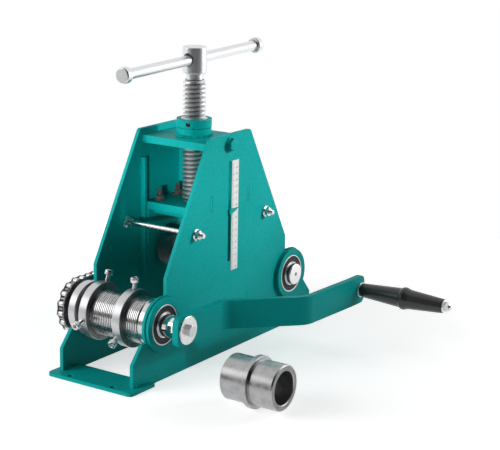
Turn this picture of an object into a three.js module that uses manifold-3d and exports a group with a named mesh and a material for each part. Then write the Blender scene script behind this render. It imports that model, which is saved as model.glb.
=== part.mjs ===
// Ring roller: two side plates on feet carry two driven rollers that a chain joins. A screw between the
// plates forces a third roller down on the bar that is bent, and a crank turns the front roller.
// Millimetres, +Z up. X runs from the front foot to the rear one, Y from the crank side to the chain side.
// The origin is the centre of the front foot's underside.
import * as THREE from "three";
import { mergeVertices } from "three/addons/utils/BufferGeometryUtils.js";
import Module from "manifold-3d";

const wasm = await Module();
wasm.setup();

// Clearances
const runningGap = 0.3;
const seatGap = 0.3;

// Facets of round pieces
const largeSides = 24;
const mediumSides = 16;
const smallSides = 10;
const hexSides = 6;

// Chain drive
const chainPitch = 15.2;
const sprocketTeeth = 16;
const runPitches = 23;
const chainPhase = 0.29;
const chainRollerRadius = 4.7;
const chainRollerSides = 6;
const chainBandSegments = 8;
const chainInnerWidth = 7.6;
const chainPlateHeight = 9.8;
const chainPlateThickness = 3;
const chainPlaneGap = 7.2;
const toothWidth = 7;
const toothRise = 3.4;
const toothSeatGap = 0.4;
const sprocketHubRadius = 25;

// Side plates and feet
const plateThickness = 6;
const innerWidth = 128;
const axleHeight = 88.1;
const footThickness = 6;
const footLength = 58;
const footWidth = 160;
const footInnerReach = 29.4;
const footCornerRadius = 8;
const footHoleRadius = 4.3;
const footHoleInset = 8;
const footHoleSpread = 82;
const toeReach = 69.4;
const toeHeight = 41;
const shoulderReach = 46.4;
const shoulderDrop = 20.6;
const towerSetback = 11.6;
const towerBaseHeight = 155;
const towerTopHalfWidth = 54.5;
const towerHeight = 350;
const towerCornerRadius = 7;
const slotWidth = 7.4;
const slotCentreX = -1;
const slotBottom = 146.5;
const slotDrop = 42.4;

// Cross pieces
const crossPlateHalfLength = 50;
const crossPlateThickness = 12;
const crossPlateDrop = 10;
const crossBoltX = -2;
const crossBoltShankRadius = 4;
const crossBoltShankLength = 30;
const crossBoltHeadRadius = 10;
const crossBoltHeadHeight = 6.5;
const crossBoltWasherRadius = 11.5;
const crossBoltWasherThickness = 2;
const guideThickness = 6;
const railWidth = 8;
const railBottom = 111;
const railDrop = 45;
const tabBottom = 235;
const tabHeight = 25;
const lowerTabBottom = 69;
const lowerTabHeight = 15;
const rearGuideBottom = 60;
const windowBottom = 100;
const windowTop = 205;
const windowMargin = 10;

// Tie rods
const tieRodRadius = 4;
const tieRodTipLength = 15;
const tieNutRadius = 7.5;
const tieNutHeight = 8;
const tieNutFlangeRadius = 9;
const tieNutFlangeThickness = 1.6;
const frontTieX = -89.6;
const rearTieX = 101.6;
const tieHeight = 208;

// Scale strip and pointer
const scaleLeft = 4;
const scaleWidth = 18;
const scaleBottom = 131;
const scaleTopDrop = 0.6;
const scaleThickness = 0.6;
const pointerHeight = 8;
const pointerRise = 70;
const pointerReach = 21;
const pointerThickness = 2;

// Shafts, bearings and housings
const shaftRadius = 17.5;
const bearingRadius = 31;
const bearingWidth = 14;
const bearingSealInner = 22.5;
const bearingSealOuter = 27.6;
const bearingSealDepth = 0.8;
const housingRadius = 41.5;
const housingWidth = 13;
const bearingInset = 0.4;
const rearShaftStub = 8;
const sprocketEndStub = 3;
const keyWidth = 10;
const keyDepth = 5;
const keyRise = 3;
const keySlotLength = 34;
const keyAngle = 174;

// Roller sleeves and guide collars
const sleeveRadius = 36;
const sleeveEndRadius = 34.6;
const sleeveEndWidth = 10;
const collarBoreGap = 0.4;
const collarRadius = 45;
const collarWidth = 15;
const nearCollarY = -17.5;
const farCollarY = 46.5;
const collarScrewRadius = 4;
const collarScrewHeadRadius = 6.5;
const collarScrewHeadHeight = 8;
const collarScrewTop = 63;
const collarScrews = 3;
const nearCollarAngle = 88;
const farCollarAngle = 70;

// Crank
const armThickness = 10;
const armHeight = 45.4;
const armCornerRadius = 10;
const armInnerY = -108;
const armFrontReach = 25;
const armBendX = -78;
const armSecondBendX = 18;
const armOuterY = -203.2;
const armOuterLean = 4.6;
const armEndX = 180;
const armEyeReach = 26;
const armBendRadius = 25;
const crankWasherRadius = 21.75;
const crankWasherThickness = 2;
const crankBoltHeadRadius = 9;
const crankBoltHeadHeight = 7;
const crankBoltShankRadius = 6;
const crankBoltShankLength = 24;
const gripInset = 12;
const gripDrop = 2;
const gripBoreRadius = 5.3;
const gripBoltRadius = 5;
const gripWasherRadius = 12;
const gripWasherThickness = 2.5;
const gripBaseRadius = 10.5;
const gripRidgeRadius = 18;
const gripRidgeRise = 1.2;
const gripRidgeBevel = 2;
const gripTipRadius = 11;
const gripTaperLength = 73.5;
const gripRidgeLength = 9;
const gripTipLength = 65.5;
const gripNutRadius = 8;
const gripNutHeight = 6;
const gripBoltTipLength = 4;

// Press screw, its nut and the tommy bar
const screwRadius = 18;
const screwThreadLength = 194.5;
const screwNeckRadius = 13.2;
const screwNeckHeight = 9;
const screwHeadRadius = 19;
const screwHeadHeight = 42;
const screwHeadBevel = 1.5;
const bossRadius = 27.2;
const bossHeight = 13;
const nutFlangeRadius = 27.75;
const nutFlangeHeight = 13;
const nutNeckHeight = 1;
const nutNeckRadius = 26;
const nutBodyRadius = 23;
const nutBodyDrop = 3;
const nutScrewRadius = 3.5;
const nutScrewLength = 7;
const nutScrewAngle = 196;
const barRadius = 8;
const barHoleRadius = 9.5;
const barRise = 22;
const barHoleRise = 0.6;
const barTilt = 1.6;
const barFrontLength = 180.7;
const barRearLength = 174.7;
const barCapRadius = 12.5;
const barCapLength = 12;
const barCapWall = 4;

// Carriage and press roller
const carriageHalfLength = 46;
const carriageHalfWidth = 60;
const carriageRise = 64.5;
const carriagePlateThickness = 12;
const cheekThickness = 6;
const cheekDrop = 20;
const retainerHalfLength = 35;
const retainerHalfWidth = 53;
const retainerThickness = 8;
const journalRadius = 10;
const journalRingRadius = 16;
const journalRingHeight = 7;
const journalTipLength = 2;
const studX = 24;
const studY = 48.5;
const studRadius = 4;
const studTop = 18;
const studNutRadius = 7.2;
const studNutHeight = 7;
const studFlangeRadius = 8.6;
const studFlangeThickness = 1.8;
const pressRollerRadius = 33;
const pressRollerHalfWidth = 48.6;
const pressRollerHeight = 157;
const pressAxleRadius = 10;
const pressAxleEnd = 2;

// Spare roller sleeve on the floor
const spareX = -184.6;
const spareEndY = -294.8;
const spareLength = 89.4;
const spareRadius = 34.2;
const spareBoreRadius = 24.8;
const spareFlangeRadius = 39.2;
const spareFlangeStart = 40.9;
const spareFlangeWidth = 7.7;
const spareBevel = 1.5;

// Sizes worked out from the ones above
const degree = Math.PI / 180;
const shaftX = (runPitches * chainPitch) / 2;
const toothStep = (2 * Math.PI) / sprocketTeeth;
const pitchRadius = chainPitch / 2 / Math.sin(toothStep / 2);
const insideY = innerWidth / 2;
const outsideY = insideY + plateThickness;
const plateMiddleY = insideY + plateThickness / 2;
const housingEndY = insideY + housingWidth;
const bearingOuterY = housingEndY - bearingInset;
const bearingInnerY = bearingOuterY - bearingWidth;
const sleeveEndY = bearingInnerY - runningGap;
const chainHalfWidth = chainInnerWidth / 2 + chainPlateThickness;
const chainY = housingEndY + chainPlaneGap + chainHalfWidth;
const footInnerX = shaftX + footInnerReach;
const footCentreX = footInnerX + footLength / 2;
const toeX = shaftX + toeReach;
const shoulderX = shaftX + shoulderReach;
const shoulderHeight = axleHeight - shoulderDrop;
const towerBaseX = shaftX - towerSetback;
const crossPlateTop = towerHeight - crossPlateDrop;
const crossPlateBottom = crossPlateTop - crossPlateThickness;
const slotTop = towerHeight - slotDrop;
const scaleTop = slotTop - scaleTopDrop;
const railTop = towerHeight - railDrop;
const guideX = carriageHalfLength + 1 + guideThickness / 2;
const armFaceY = armInnerY - armThickness;
const gripX = armEndX - gripInset;
const gripArmFaceY = armOuterY - armThickness;
const gripBaseY = gripArmFaceY - gripWasherThickness - 2 * seatGap;
const gripLength = gripTaperLength + gripRidgeLength + gripTipLength;
const carriagePlateBottom = pressRollerHeight + carriageRise;
const carriagePlateTop = carriagePlateBottom + carriagePlateThickness;
const cheekBottom = pressRollerHeight - cheekDrop;
const pointerMiddle = pressRollerHeight + pointerRise;
const retainerBottom = carriagePlateBottom - retainerThickness;
const bossTop = crossPlateTop + bossHeight;
const nutTop = bossTop + nutNeckHeight + nutFlangeHeight;
const screwThreadTop = carriagePlateTop + screwThreadLength;
const screwHeadBottom = screwThreadTop + screwNeckHeight;
const barHeight = screwHeadBottom + barRise;
const screwHeadTop = screwHeadBottom + screwHeadHeight;

// Colours
const tealPaint = new THREE.MeshStandardMaterial({ color: 0x22a79f, roughness: 0.5, metalness: 0.1 });
const brightSteel = new THREE.MeshStandardMaterial({ color: 0xc9cacc, roughness: 0.3, metalness: 0.9 });
const turnedSteel = new THREE.MeshStandardMaterial({ color: 0xa3a3a5, roughness: 0.4, metalness: 0.9 });
const darkSteel = new THREE.MeshStandardMaterial({ color: 0x4a4748, roughness: 0.5, metalness: 0.8 });
const blackPlastic = new THREE.MeshStandardMaterial({ color: 0x141414, roughness: 0.25, metalness: 0 });
const whitePrint = new THREE.MeshStandardMaterial({ color: 0xe8e8e6, roughness: 0.5, metalness: 0 });

const machine = new THREE.Group();
machine.position.x = footCentreX;

function addMesh(name, geometry, material, parent = machine) {
  const mesh = new THREE.Mesh(geometry, material);
  mesh.name = name;
  parent.add(mesh);
  return mesh;
}

// Boolean cuts and joins of closed geometries
function solidOf(geometry) {
  const bare = geometry.clone();
  bare.deleteAttribute("normal");
  bare.deleteAttribute("uv");
  const merged = mergeVertices(bare, 1e-4);
  const mesh = new wasm.Mesh({
    numProp: 3,
    vertProperties: merged.attributes.position.array,
    triVerts: new Uint32Array(merged.index.array),
  });
  return new wasm.Manifold(mesh);
}

function geometryOf(solid) {
  const { numProp, vertProperties, triVerts } = solid.getMesh();
  const positions = new Float32Array((vertProperties.length / numProp) * 3);
  for (let i = 0; i < positions.length / 3; i++)
    for (let axis = 0; axis < 3; axis++) positions[i * 3 + axis] = vertProperties[i * numProp + axis];
  const geometry = new THREE.BufferGeometry();
  geometry.setAttribute("position", new THREE.BufferAttribute(positions, 3));
  geometry.setIndex([...triVerts]);
  geometry.computeVertexNormals();
  return geometry;
}

const cut = (body, ...tools) => geometryOf(tools.reduce((left, tool) => left.subtract(solidOf(tool)), solidOf(body)));
const join = (...bodies) => geometryOf(bodies.map(solidOf).reduce((all, body) => all.add(body)));
const common = (a, b) => geometryOf(solidOf(a).intersect(solidOf(b)));

// A closed outline through corners [x, y, radius]; a radius rounds its corner.
function roundedShape(corners) {
  const shape = new THREE.Shape();
  corners.forEach(([x, y, radius = 0], i) => {
    const before = corners.at(i - 1);
    const after = corners[(i + 1) % corners.length];
    const back = new THREE.Vector2(before[0] - x, before[1] - y).normalize();
    const ahead = new THREE.Vector2(after[0] - x, after[1] - y).normalize();
    const reach = radius / Math.tan(Math.acos(back.dot(ahead)) / 2);
    const startX = x + back.x * reach;
    const startY = y + back.y * reach;
    if (i === 0) shape.moveTo(startX, startY);
    else shape.lineTo(startX, startY);
    if (radius > 0) shape.quadraticCurveTo(x, y, x + ahead.x * reach, y + ahead.y * reach);
  });
  return shape;
}

const rectangle = (x0, y0, x1, y1) => roundedShape([[x0, y0], [x1, y0], [x1, y1], [x0, y1]]);

function circleShape(x, y, radius, sides = smallSides) {
  const shape = new THREE.Shape();
  for (let i = 0; i < sides; i++) {
    const angle = (i * 2 * Math.PI) / sides;
    if (i === 0) shape.moveTo(x + radius, y);
    else shape.lineTo(x + radius * Math.cos(angle), y + radius * Math.sin(angle));
  }
  return shape;
}

// The outline of a flat bar bent along a line of points, each bend rounded
function bentStrip(line, thickness, bendRadius) {
  const runs = line.slice(1).map(([x, y], i) => new THREE.Vector2(x - line[i][0], y - line[i][1]).normalize());
  const side = (distance) =>
    line.map(([x, y], i) => {
      const before = runs[Math.max(i - 1, 0)];
      const after = runs[Math.min(i, runs.length - 1)];
      const reach = distance / (1 + before.dot(after));
      const turn = before.cross(after) * distance;
      let radius = 0;
      if (turn > 0) radius = bendRadius;
      if (turn < 0) radius = bendRadius + thickness;
      return [x - (before.y + after.y) * reach, y + (before.x + after.x) * reach, radius];
    });
  return roundedShape([...side(-thickness / 2), ...side(thickness / 2).reverse()]);
}

// A plate of the given XY outline, from z = 0 up
const slab = (shape, height, curveSegments = 4) =>
  new THREE.ExtrudeGeometry(shape, { depth: height, bevelEnabled: false, curveSegments });

// A plate of the given XZ outline, centred on y = 0
function uprightSlab(shape, thickness, curveSegments = 4) {
  return slab(shape, thickness, curveSegments)
    .translate(0, 0, -thickness / 2)
    .rotateX(Math.PI / 2);
}

function block([x0, x1], [y0, y1], [z0, z1]) {
  return new THREE.BoxGeometry(x1 - x0, y1 - y0, z1 - z0).translate((x0 + x1) / 2, (y0 + y1) / 2, (z0 + z1) / 2);
}

// A turned piece about the Y axis; its profile [radius, y] runs up its outer side and closes on itself.
const turned = (profile, sides = largeSides) =>
  new THREE.LatheGeometry([...profile, profile[0]].map(([radius, y]) => new THREE.Vector2(radius, y)), sides);

// The same about the Z axis, from a profile [radius, z]
const turnedUpright = (profile, sides = largeSides) => turned(profile, sides).rotateX(Math.PI / 2);

// A round bar along Y between two places
function barY(radius, y0, y1, sides = largeSides) {
  return new THREE.CylinderGeometry(radius, radius, y1 - y0, sides).translate(0, (y0 + y1) / 2, 0);
}

const barZ = (radius, z0, z1, sides = largeSides) => barY(radius, z0, z1, sides).rotateX(Math.PI / 2);

const ringY = (outer, inner, y0, y1, sides = largeSides) =>
  turned([[inner, y0], [outer, y0], [outer, y1], [inner, y1]], sides);

const ringZ = (outer, inner, z0, z1, sides = largeSides) => ringY(outer, inner, z0, z1, sides).rotateX(Math.PI / 2);

// Places that both side plates and the pieces through them share
const tieRods = { front: [frontTieX, tieHeight], rear: [rearTieX, tieHeight] };
const shaftPlaces = { front: -shaftX, rear: shaftX };
const sides = { near: -1, far: 1 };
const tabHeights = [[tabBottom, tabHeight], [lowerTabBottom, lowerTabHeight]];
const crossBoltHeight = crossPlateTop - crossPlateThickness / 2;

// Side plates
function sidePlateGeometry(slotted) {
  const rightHalf = [
    [footInnerX, 0],
    [footInnerX, footThickness],
    [toeX, footThickness],
    [toeX, toeHeight],
    [shoulderX, shoulderHeight],
    [towerBaseX, shoulderHeight],
    [towerBaseX, towerBaseHeight],
    [towerTopHalfWidth, towerHeight, towerCornerRadius],
  ];
  const leftHalf = rightHalf.map(([x, z, radius]) => [-x, z, radius]).reverse();
  const shape = roundedShape([...rightHalf, ...leftHalf]);
  const slot = new THREE.Shape();
  const slotRadius = slotWidth / 2;
  slot.moveTo(slotCentreX + slotRadius, slotBottom + slotRadius);
  slot.absarc(slotCentreX, slotTop - slotRadius, slotRadius, 0, Math.PI, false);
  slot.absarc(slotCentreX, slotBottom + slotRadius, slotRadius, Math.PI, 2 * Math.PI, false);
  if (slotted) shape.holes.push(slot);
  const bore = (x, z, radius, sides) => barY(radius, -plateThickness, plateThickness, sides).translate(x, 0, z);
  const bores = Object.values(shaftPlaces).map((x) => bore(x, axleHeight, housingRadius + seatGap));
  for (const [x, z] of Object.values(tieRods)) bores.push(bore(x, z, tieRodRadius + runningGap, smallSides));
  bores.push(bore(crossBoltX, crossBoltHeight, crossBoltShankRadius + runningGap, smallSides));
  const halfTab = guideThickness / 2 + runningGap;
  const windows = [];
  for (const [x, tabs] of [[-guideX, tabHeights.slice(0, 1)], [guideX, tabHeights]])
    for (const [bottom, height] of tabs)
      windows.push(
        block(
          [x - halfTab, x + halfTab],
          [-plateThickness, plateThickness],
          [bottom - runningGap, bottom + height + runningGap],
        ),
      );
  return cut(uprightSlab(shape, plateThickness), ...bores, ...windows);
}

for (const [side, sign] of Object.entries(sides))
  addMesh(`side_plate_${side}`, sidePlateGeometry(side === "near"), tealPaint).position.y = sign * plateMiddleY;

// Foot plates
function footGeometry() {
  const half = footWidth / 2;
  const shape = roundedShape([
    [-footLength / 2, -half, footCornerRadius],
    [footLength / 2, -half],
    [footLength / 2, half],
    [-footLength / 2, half, footCornerRadius],
  ]);
  for (const sign of [-1, 1])
    shape.holes.push(circleShape(footHoleInset - footLength / 2, (sign * footHoleSpread) / 2, footHoleRadius));
  return slab(shape, footThickness);
}

for (const [end, turn] of [["front", 0], ["rear", Math.PI]]) {
  const foot = addMesh(`foot_plate_${end}`, footGeometry(), tealPaint);
  foot.position.x = (end === "front" ? -1 : 1) * footCentreX;
  foot.rotation.z = turn;
}

// Cross plate with its two bolts
const crossPlateBlank = block(
  [-crossPlateHalfLength, crossPlateHalfLength],
  [-insideY, insideY],
  [crossPlateBottom, crossPlateTop],
);
const crossBoltHoles = Object.values(sides).map((sign) => {
  const depth = crossBoltShankLength - plateThickness + 2;
  const length = depth + 2;
  return barY(crossBoltShankRadius + runningGap, -length / 2, length / 2, smallSides).translate(
    crossBoltX,
    sign * (insideY + 2 - length / 2),
    crossBoltHeight,
  );
});
addMesh(
  "top_cross_plate",
  cut(crossPlateBlank, barZ(nutBodyRadius + runningGap, crossPlateBottom - 1, crossPlateTop + 1), ...crossBoltHoles),
  tealPaint,
);

for (const [side, sign] of Object.entries(sides)) {
  const shank = barY(crossBoltShankRadius, -crossBoltShankLength, 0.5, smallSides);
  const washer = barY(crossBoltWasherRadius, 0, crossBoltWasherThickness, mediumSides);
  const headTop = crossBoltWasherThickness + crossBoltHeadHeight;
  const head = barY(crossBoltHeadRadius, crossBoltWasherThickness / 2, headTop, hexSides);
  const bolt = addMesh(`cross_bolt_${side}`, join(shank, washer, head), tealPaint);
  bolt.position.set(crossBoltX, sign * outsideY, crossBoltHeight);
  bolt.rotation.z = sign < 0 ? Math.PI : 0;
}

// Guides of the carriage: a rail on each side plate in front, one windowed plate behind
const tabReach = [insideY - railWidth, outsideY];
for (const [side, sign] of Object.entries(sides)) {
  const [inner, outer] = tabReach;
  const rail = block([-guideThickness / 2, guideThickness / 2], [inner, insideY], [railBottom, railTop]);
  const tab = block(
    [-guideThickness / 2, guideThickness / 2],
    [inner + 1, outer],
    [tabBottom, tabBottom + tabHeight],
  );
  const mesh = addMesh(`guide_rail_${side}`, join(rail, tab), tealPaint);
  mesh.position.x = -guideX;
  mesh.rotation.z = sign < 0 ? Math.PI : 0;
}

function rearGuideGeometry() {
  const across = [-guideThickness / 2, guideThickness / 2];
  const plate = block(across, [-insideY, insideY], [rearGuideBottom, crossPlateBottom]);
  const tabs = tabHeights.map(([bottom, height]) => block(across, [-outsideY, outsideY], [bottom, bottom + height]));
  const windowHalf = insideY - windowMargin;
  const opening = block([-guideThickness, guideThickness], [-windowHalf, windowHalf], [windowBottom, windowTop]);
  return cut(join(plate, ...tabs), opening);
}
addMesh("rear_guide_plate", rearGuideGeometry(), tealPaint).position.x = guideX;

// Tie rods with a flange nut on both faces of both side plates
function tieRodGeometry() {
  const end = outsideY + tieRodTipLength;
  const pieces = [barY(tieRodRadius, -end, end, smallSides)];
  for (const face of [-outsideY, -insideY, insideY, outsideY]) {
    const away = Math.abs(face) === outsideY ? Math.sign(face) : -Math.sign(face);
    const flangeEnds = [face, face + away * tieNutFlangeThickness].sort((a, b) => a - b);
    const nutEnds = [face + away * tieNutFlangeThickness * 0.5, face + away * tieNutHeight].sort((a, b) => a - b);
    pieces.push(barY(tieNutFlangeRadius, ...flangeEnds, mediumSides), barY(tieNutRadius, ...nutEnds, hexSides));
  }
  return join(...pieces);
}

for (const [end, [x, z]] of Object.entries(tieRods))
  addMesh(`tie_rod_${end}`, tieRodGeometry(), brightSteel).position.set(x, 0, z);

// Scale strip on the near side plate
addMesh(
  "scale_strip",
  block(
    [scaleLeft, scaleLeft + scaleWidth],
    [-outsideY - scaleThickness, -outsideY],
    [scaleBottom, scaleTop],
  ),
  whitePrint,
);

// Bearing housings and ball bearings
function bearingGeometry() {
  const bore = shaftRadius + runningGap;
  const rim = bearingRadius;
  const sealY = bearingOuterY - bearingSealDepth;
  return turned([
    [bore, bearingInnerY],
    [rim, bearingInnerY],
    [rim, bearingOuterY],
    [bearingSealOuter, bearingOuterY],
    [bearingSealOuter, sealY],
    [bearingSealInner, sealY],
    [bearingSealInner, bearingOuterY],
    [bore, bearingOuterY],
  ]);
}

for (const [end, x] of Object.entries(shaftPlaces))
  for (const [side, sign] of Object.entries(sides)) {
    const place = new THREE.Group();
    place.position.set(x, 0, axleHeight);
    place.rotation.z = sign < 0 ? Math.PI : 0;
    machine.add(place);
    const ring = ringY(housingRadius, bearingRadius + seatGap, insideY, housingEndY);
    addMesh(`bearing_housing_${end}_${side}`, ring, side === "far" && end === "front" ? turnedSteel : tealPaint, place);
    addMesh(`bearing_${end}_${side}`, bearingGeometry(), brightSteel, place);
  }

// Roller sleeves, the same on both shafts
function sleeveGeometry() {
  const bore = shaftRadius + runningGap;
  const threadEnd = sleeveEndY - sleeveEndWidth;
  return turned([
    [bore, -sleeveEndY],
    [sleeveEndRadius, -sleeveEndY],
    [sleeveEndRadius, -threadEnd],
    [sleeveRadius, -threadEnd],
    [sleeveRadius, threadEnd],
    [sleeveEndRadius, threadEnd],
    [sleeveEndRadius, sleeveEndY],
    [bore, sleeveEndY],
  ]);
}

// Guide collar with its radial socket screws, centred on y = 0
function collarGeometry(firstAngle) {
  const pieces = [ringY(collarRadius, sleeveRadius + collarBoreGap, -collarWidth / 2, collarWidth / 2)];
  const headBottom = collarScrewTop - collarScrewHeadHeight;
  for (let i = 0; i < collarScrews; i++) {
    const shank = barZ(collarScrewRadius, sleeveRadius + 1, headBottom + 1, smallSides);
    const head = barZ(collarScrewHeadRadius, headBottom, collarScrewTop, smallSides);
    const turn = (90 - firstAngle - (i * 360) / collarScrews) * degree;
    pieces.push(join(shank, head).rotateY(turn));
  }
  return join(...pieces);
}

// Sprocket: a toothed plate with a hub towards the bearing
function sprocketGeometry() {
  const seatRadius = chainRollerRadius + toothSeatGap;
  const seatAngles = [-70, -35, 0, 35, 70];
  const tipHalfAngle = toothStep * 0.06;
  const shape = new THREE.Shape();
  for (let tooth = 0; tooth < sprocketTeeth; tooth++) {
    const middle = (tooth + chainPhase) * toothStep + Math.PI / 2;
    const seat = seatAngles.map((angle) => {
      const direction = middle + Math.PI + angle * degree;
      return [
        pitchRadius * Math.cos(middle) + seatRadius * Math.cos(direction),
        pitchRadius * Math.sin(middle) + seatRadius * Math.sin(direction),
      ];
    });
    const tip = [-1, 1].map((sign) => {
      const angle = middle + toothStep / 2 + sign * tipHalfAngle;
      const radius = pitchRadius + toothRise;
      return [radius * Math.cos(angle), radius * Math.sin(angle)];
    });
    for (const [x, z] of [...seat.reverse(), ...tip]) {
      if (shape.curves.length || shape.currentPoint.x || shape.currentPoint.y) shape.lineTo(x, z);
      else shape.moveTo(x, z);
    }
  }
  const plate = uprightSlab(shape, toothWidth).translate(0, chainY, 0);
  const hubStart = bearingOuterY + seatGap;
  const hub = barY(sprocketHubRadius, hubStart, chainY + 1, mediumSides);
  return cut(join(plate, hub), barY(shaftRadius + runningGap, hubStart - 1, chainY + toothWidth));
}

// Shafts, turning about Y at the place of their group
const shaftFarY = chainY + toothWidth / 2 + sprocketEndStub;
const shaftNearY = { front: armFaceY + 1, rear: -housingEndY - rearShaftStub };
const shaftGroups = {};
for (const [end, x] of Object.entries(shaftPlaces)) {
  const group = new THREE.Group();
  group.position.set(x, 0, axleHeight);
  machine.add(group);
  shaftGroups[end] = group;
  let shaft = barY(shaftRadius, shaftNearY[end], shaftFarY);
  if (end === "front") {
    const slot = block(
      [shaftRadius - keyDepth, shaftRadius + keyDepth],
      [shaftNearY.front - 1, shaftNearY.front + keySlotLength],
      [-keyWidth / 2, keyWidth / 2],
    ).rotateY(-keyAngle * degree);
    const threadHole = barY(
      crankBoltShankRadius + runningGap,
      shaftNearY.front - 1,
      shaftNearY.front + crankBoltShankLength,
      mediumSides,
    );
    shaft = cut(shaft, slot, threadHole);
  }
  addMesh(`${end}_shaft`, shaft, brightSteel, group);
  addMesh(`${end}_roller_sleeve`, sleeveGeometry(), brightSteel, group);
  addMesh(`${end}_sprocket`, sprocketGeometry(), darkSteel, group);
  const collars = { near: [nearCollarY, nearCollarAngle], far: [farCollarY, farCollarAngle] };
  for (const [side, [y, angle]] of Object.entries(collars))
    addMesh(`${end}_collar_${side}`, collarGeometry(angle), turnedSteel, group).position.y = y;
}

// Drive chain: two bands of link plates round both sprockets, joined by the rollers of the two runs. The
// path of the teeth is left free, because the chain stands still here while the sprockets turn.
function racetrack(radius) {
  const shape = new THREE.Shape();
  shape.moveTo(-shaftX, -radius);
  shape.lineTo(shaftX, -radius);
  shape.absarc(shaftX, 0, radius, -Math.PI / 2, Math.PI / 2, false);
  shape.lineTo(-shaftX, radius);
  shape.absarc(-shaftX, 0, radius, Math.PI / 2, (3 * Math.PI) / 2, false);
  return shape;
}

// The place of a chain roller, counted in pitches from the top of the rear sprocket towards the front
function chainPoint(pitches) {
  const halfTurn = sprocketTeeth / 2;
  if (pitches < runPitches) return [shaftX - pitches * chainPitch, pitchRadius];
  if (pitches < runPitches + halfTurn) {
    const angle = Math.PI / 2 + (pitches - runPitches) * toothStep;
    return [-shaftX + pitchRadius * Math.cos(angle), pitchRadius * Math.sin(angle)];
  }
  if (pitches < 2 * runPitches + halfTurn)
    return [-shaftX + (pitches - runPitches - halfTurn) * chainPitch, -pitchRadius];
  const angle = -Math.PI / 2 + (pitches - 2 * runPitches - halfTurn) * toothStep;
  return [shaftX + pitchRadius * Math.cos(angle), pitchRadius * Math.sin(angle)];
}

function chainGeometry() {
  const bandShape = racetrack(pitchRadius + chainPlateHeight / 2);
  bandShape.holes.push(racetrack(pitchRadius - chainPlateHeight / 2));
  const links = 2 * runPitches + sprocketTeeth;
  const pieces = [-1, 1].map((sign) =>
    uprightSlab(bandShape, chainPlateThickness, chainBandSegments).translate(
      0,
      (sign * (chainInnerWidth + chainPlateThickness)) / 2,
      0,
    ),
  );
  const rollerReach = (chainInnerWidth + chainPlateThickness) / 2;
  const toothPath = pitchRadius + toothRise + chainRollerRadius + toothSeatGap;
  for (let i = 0; i < links; i++) {
    const [x, z] = chainPoint(i + chainPhase);
    if (Math.hypot(shaftX - Math.abs(x), z) < toothPath) continue;
    pieces.push(barY(chainRollerRadius, -rollerReach, rollerReach, chainRollerSides).translate(x, 0, z));
  }
  return join(...pieces);
}
addMesh("drive_chain", chainGeometry(), darkSteel).position.set(0, chainY, axleHeight);

// Crank: a flat bar with a double bend on the front shaft
function crankArmGeometry() {
  const start = -armFrontReach;
  const end = armEndX + shaftX;
  const shaftEndY = armInnerY - armThickness / 2;
  const gripEndY = armOuterY - armThickness / 2;
  const line = [
    [start, shaftEndY],
    [armBendX + shaftX, shaftEndY],
    [armSecondBendX + shaftX, gripEndY + armOuterLean],
    [gripX + shaftX - armEyeReach, gripEndY],
    [end, gripEndY],
  ];
  const strip = bentStrip(line, armThickness, armBendRadius);
  const bar = slab(strip, armHeight).translate(0, 0, -armHeight / 2);
  const face = roundedShape([
    [start, -armHeight / 2, armCornerRadius],
    [end, -armHeight / 2, armCornerRadius],
    [end, armHeight / 2, armCornerRadius],
    [start, armHeight / 2, armCornerRadius],
  ]);
  const depth = 2 * (armInnerY - gripArmFaceY);
  const outline = uprightSlab(face, depth).translate(0, (armInnerY + gripArmFaceY) / 2, 0);
  const tilt = Math.atan2(gripDrop, gripX + shaftX);
  const bent = common(bar, outline).rotateY(tilt);
  const shaftBore = barY(shaftRadius + runningGap, armFaceY - 1, armInnerY + 1);
  const keySlot = block(
    [shaftRadius - keyDepth, shaftRadius + keyRise + runningGap],
    [armFaceY - 1, armInnerY + 1],
    [-keyWidth / 2 - runningGap, keyWidth / 2 + runningGap],
  ).rotateY(-keyAngle * degree);
  const gripHole = barY(gripBoltRadius + runningGap, gripArmFaceY - 1, armOuterY + 1, smallSides).translate(
    gripX + shaftX,
    0,
    -gripDrop,
  );
  return cut(bent, shaftBore, keySlot, gripHole);
}

const frontGroup = shaftGroups.front;
addMesh("crank_arm", crankArmGeometry(), tealPaint, frontGroup);
addMesh(
  "crank_key",
  block(
    [shaftRadius - keyDepth + runningGap, shaftRadius + keyRise],
    [armFaceY + 1.5, armInnerY - 0.5],
    [-keyWidth / 2 + runningGap, keyWidth / 2 - runningGap],
  ).rotateY(-keyAngle * degree),
  brightSteel,
  frontGroup,
);
const washerOuterY = armFaceY - crankWasherThickness;
addMesh(
  "crank_washer",
  ringY(crankWasherRadius, crankBoltShankRadius + runningGap, washerOuterY, armFaceY),
  brightSteel,
  frontGroup,
);
addMesh(
  "crank_bolt",
  join(
    barY(crankBoltShankRadius, washerOuterY - 1, shaftNearY.front + crankBoltShankLength - 2, mediumSides),
    barY(crankBoltHeadRadius, washerOuterY - crankBoltHeadHeight, washerOuterY, hexSides),
  ),
  brightSteel,
  frontGroup,
);

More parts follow.
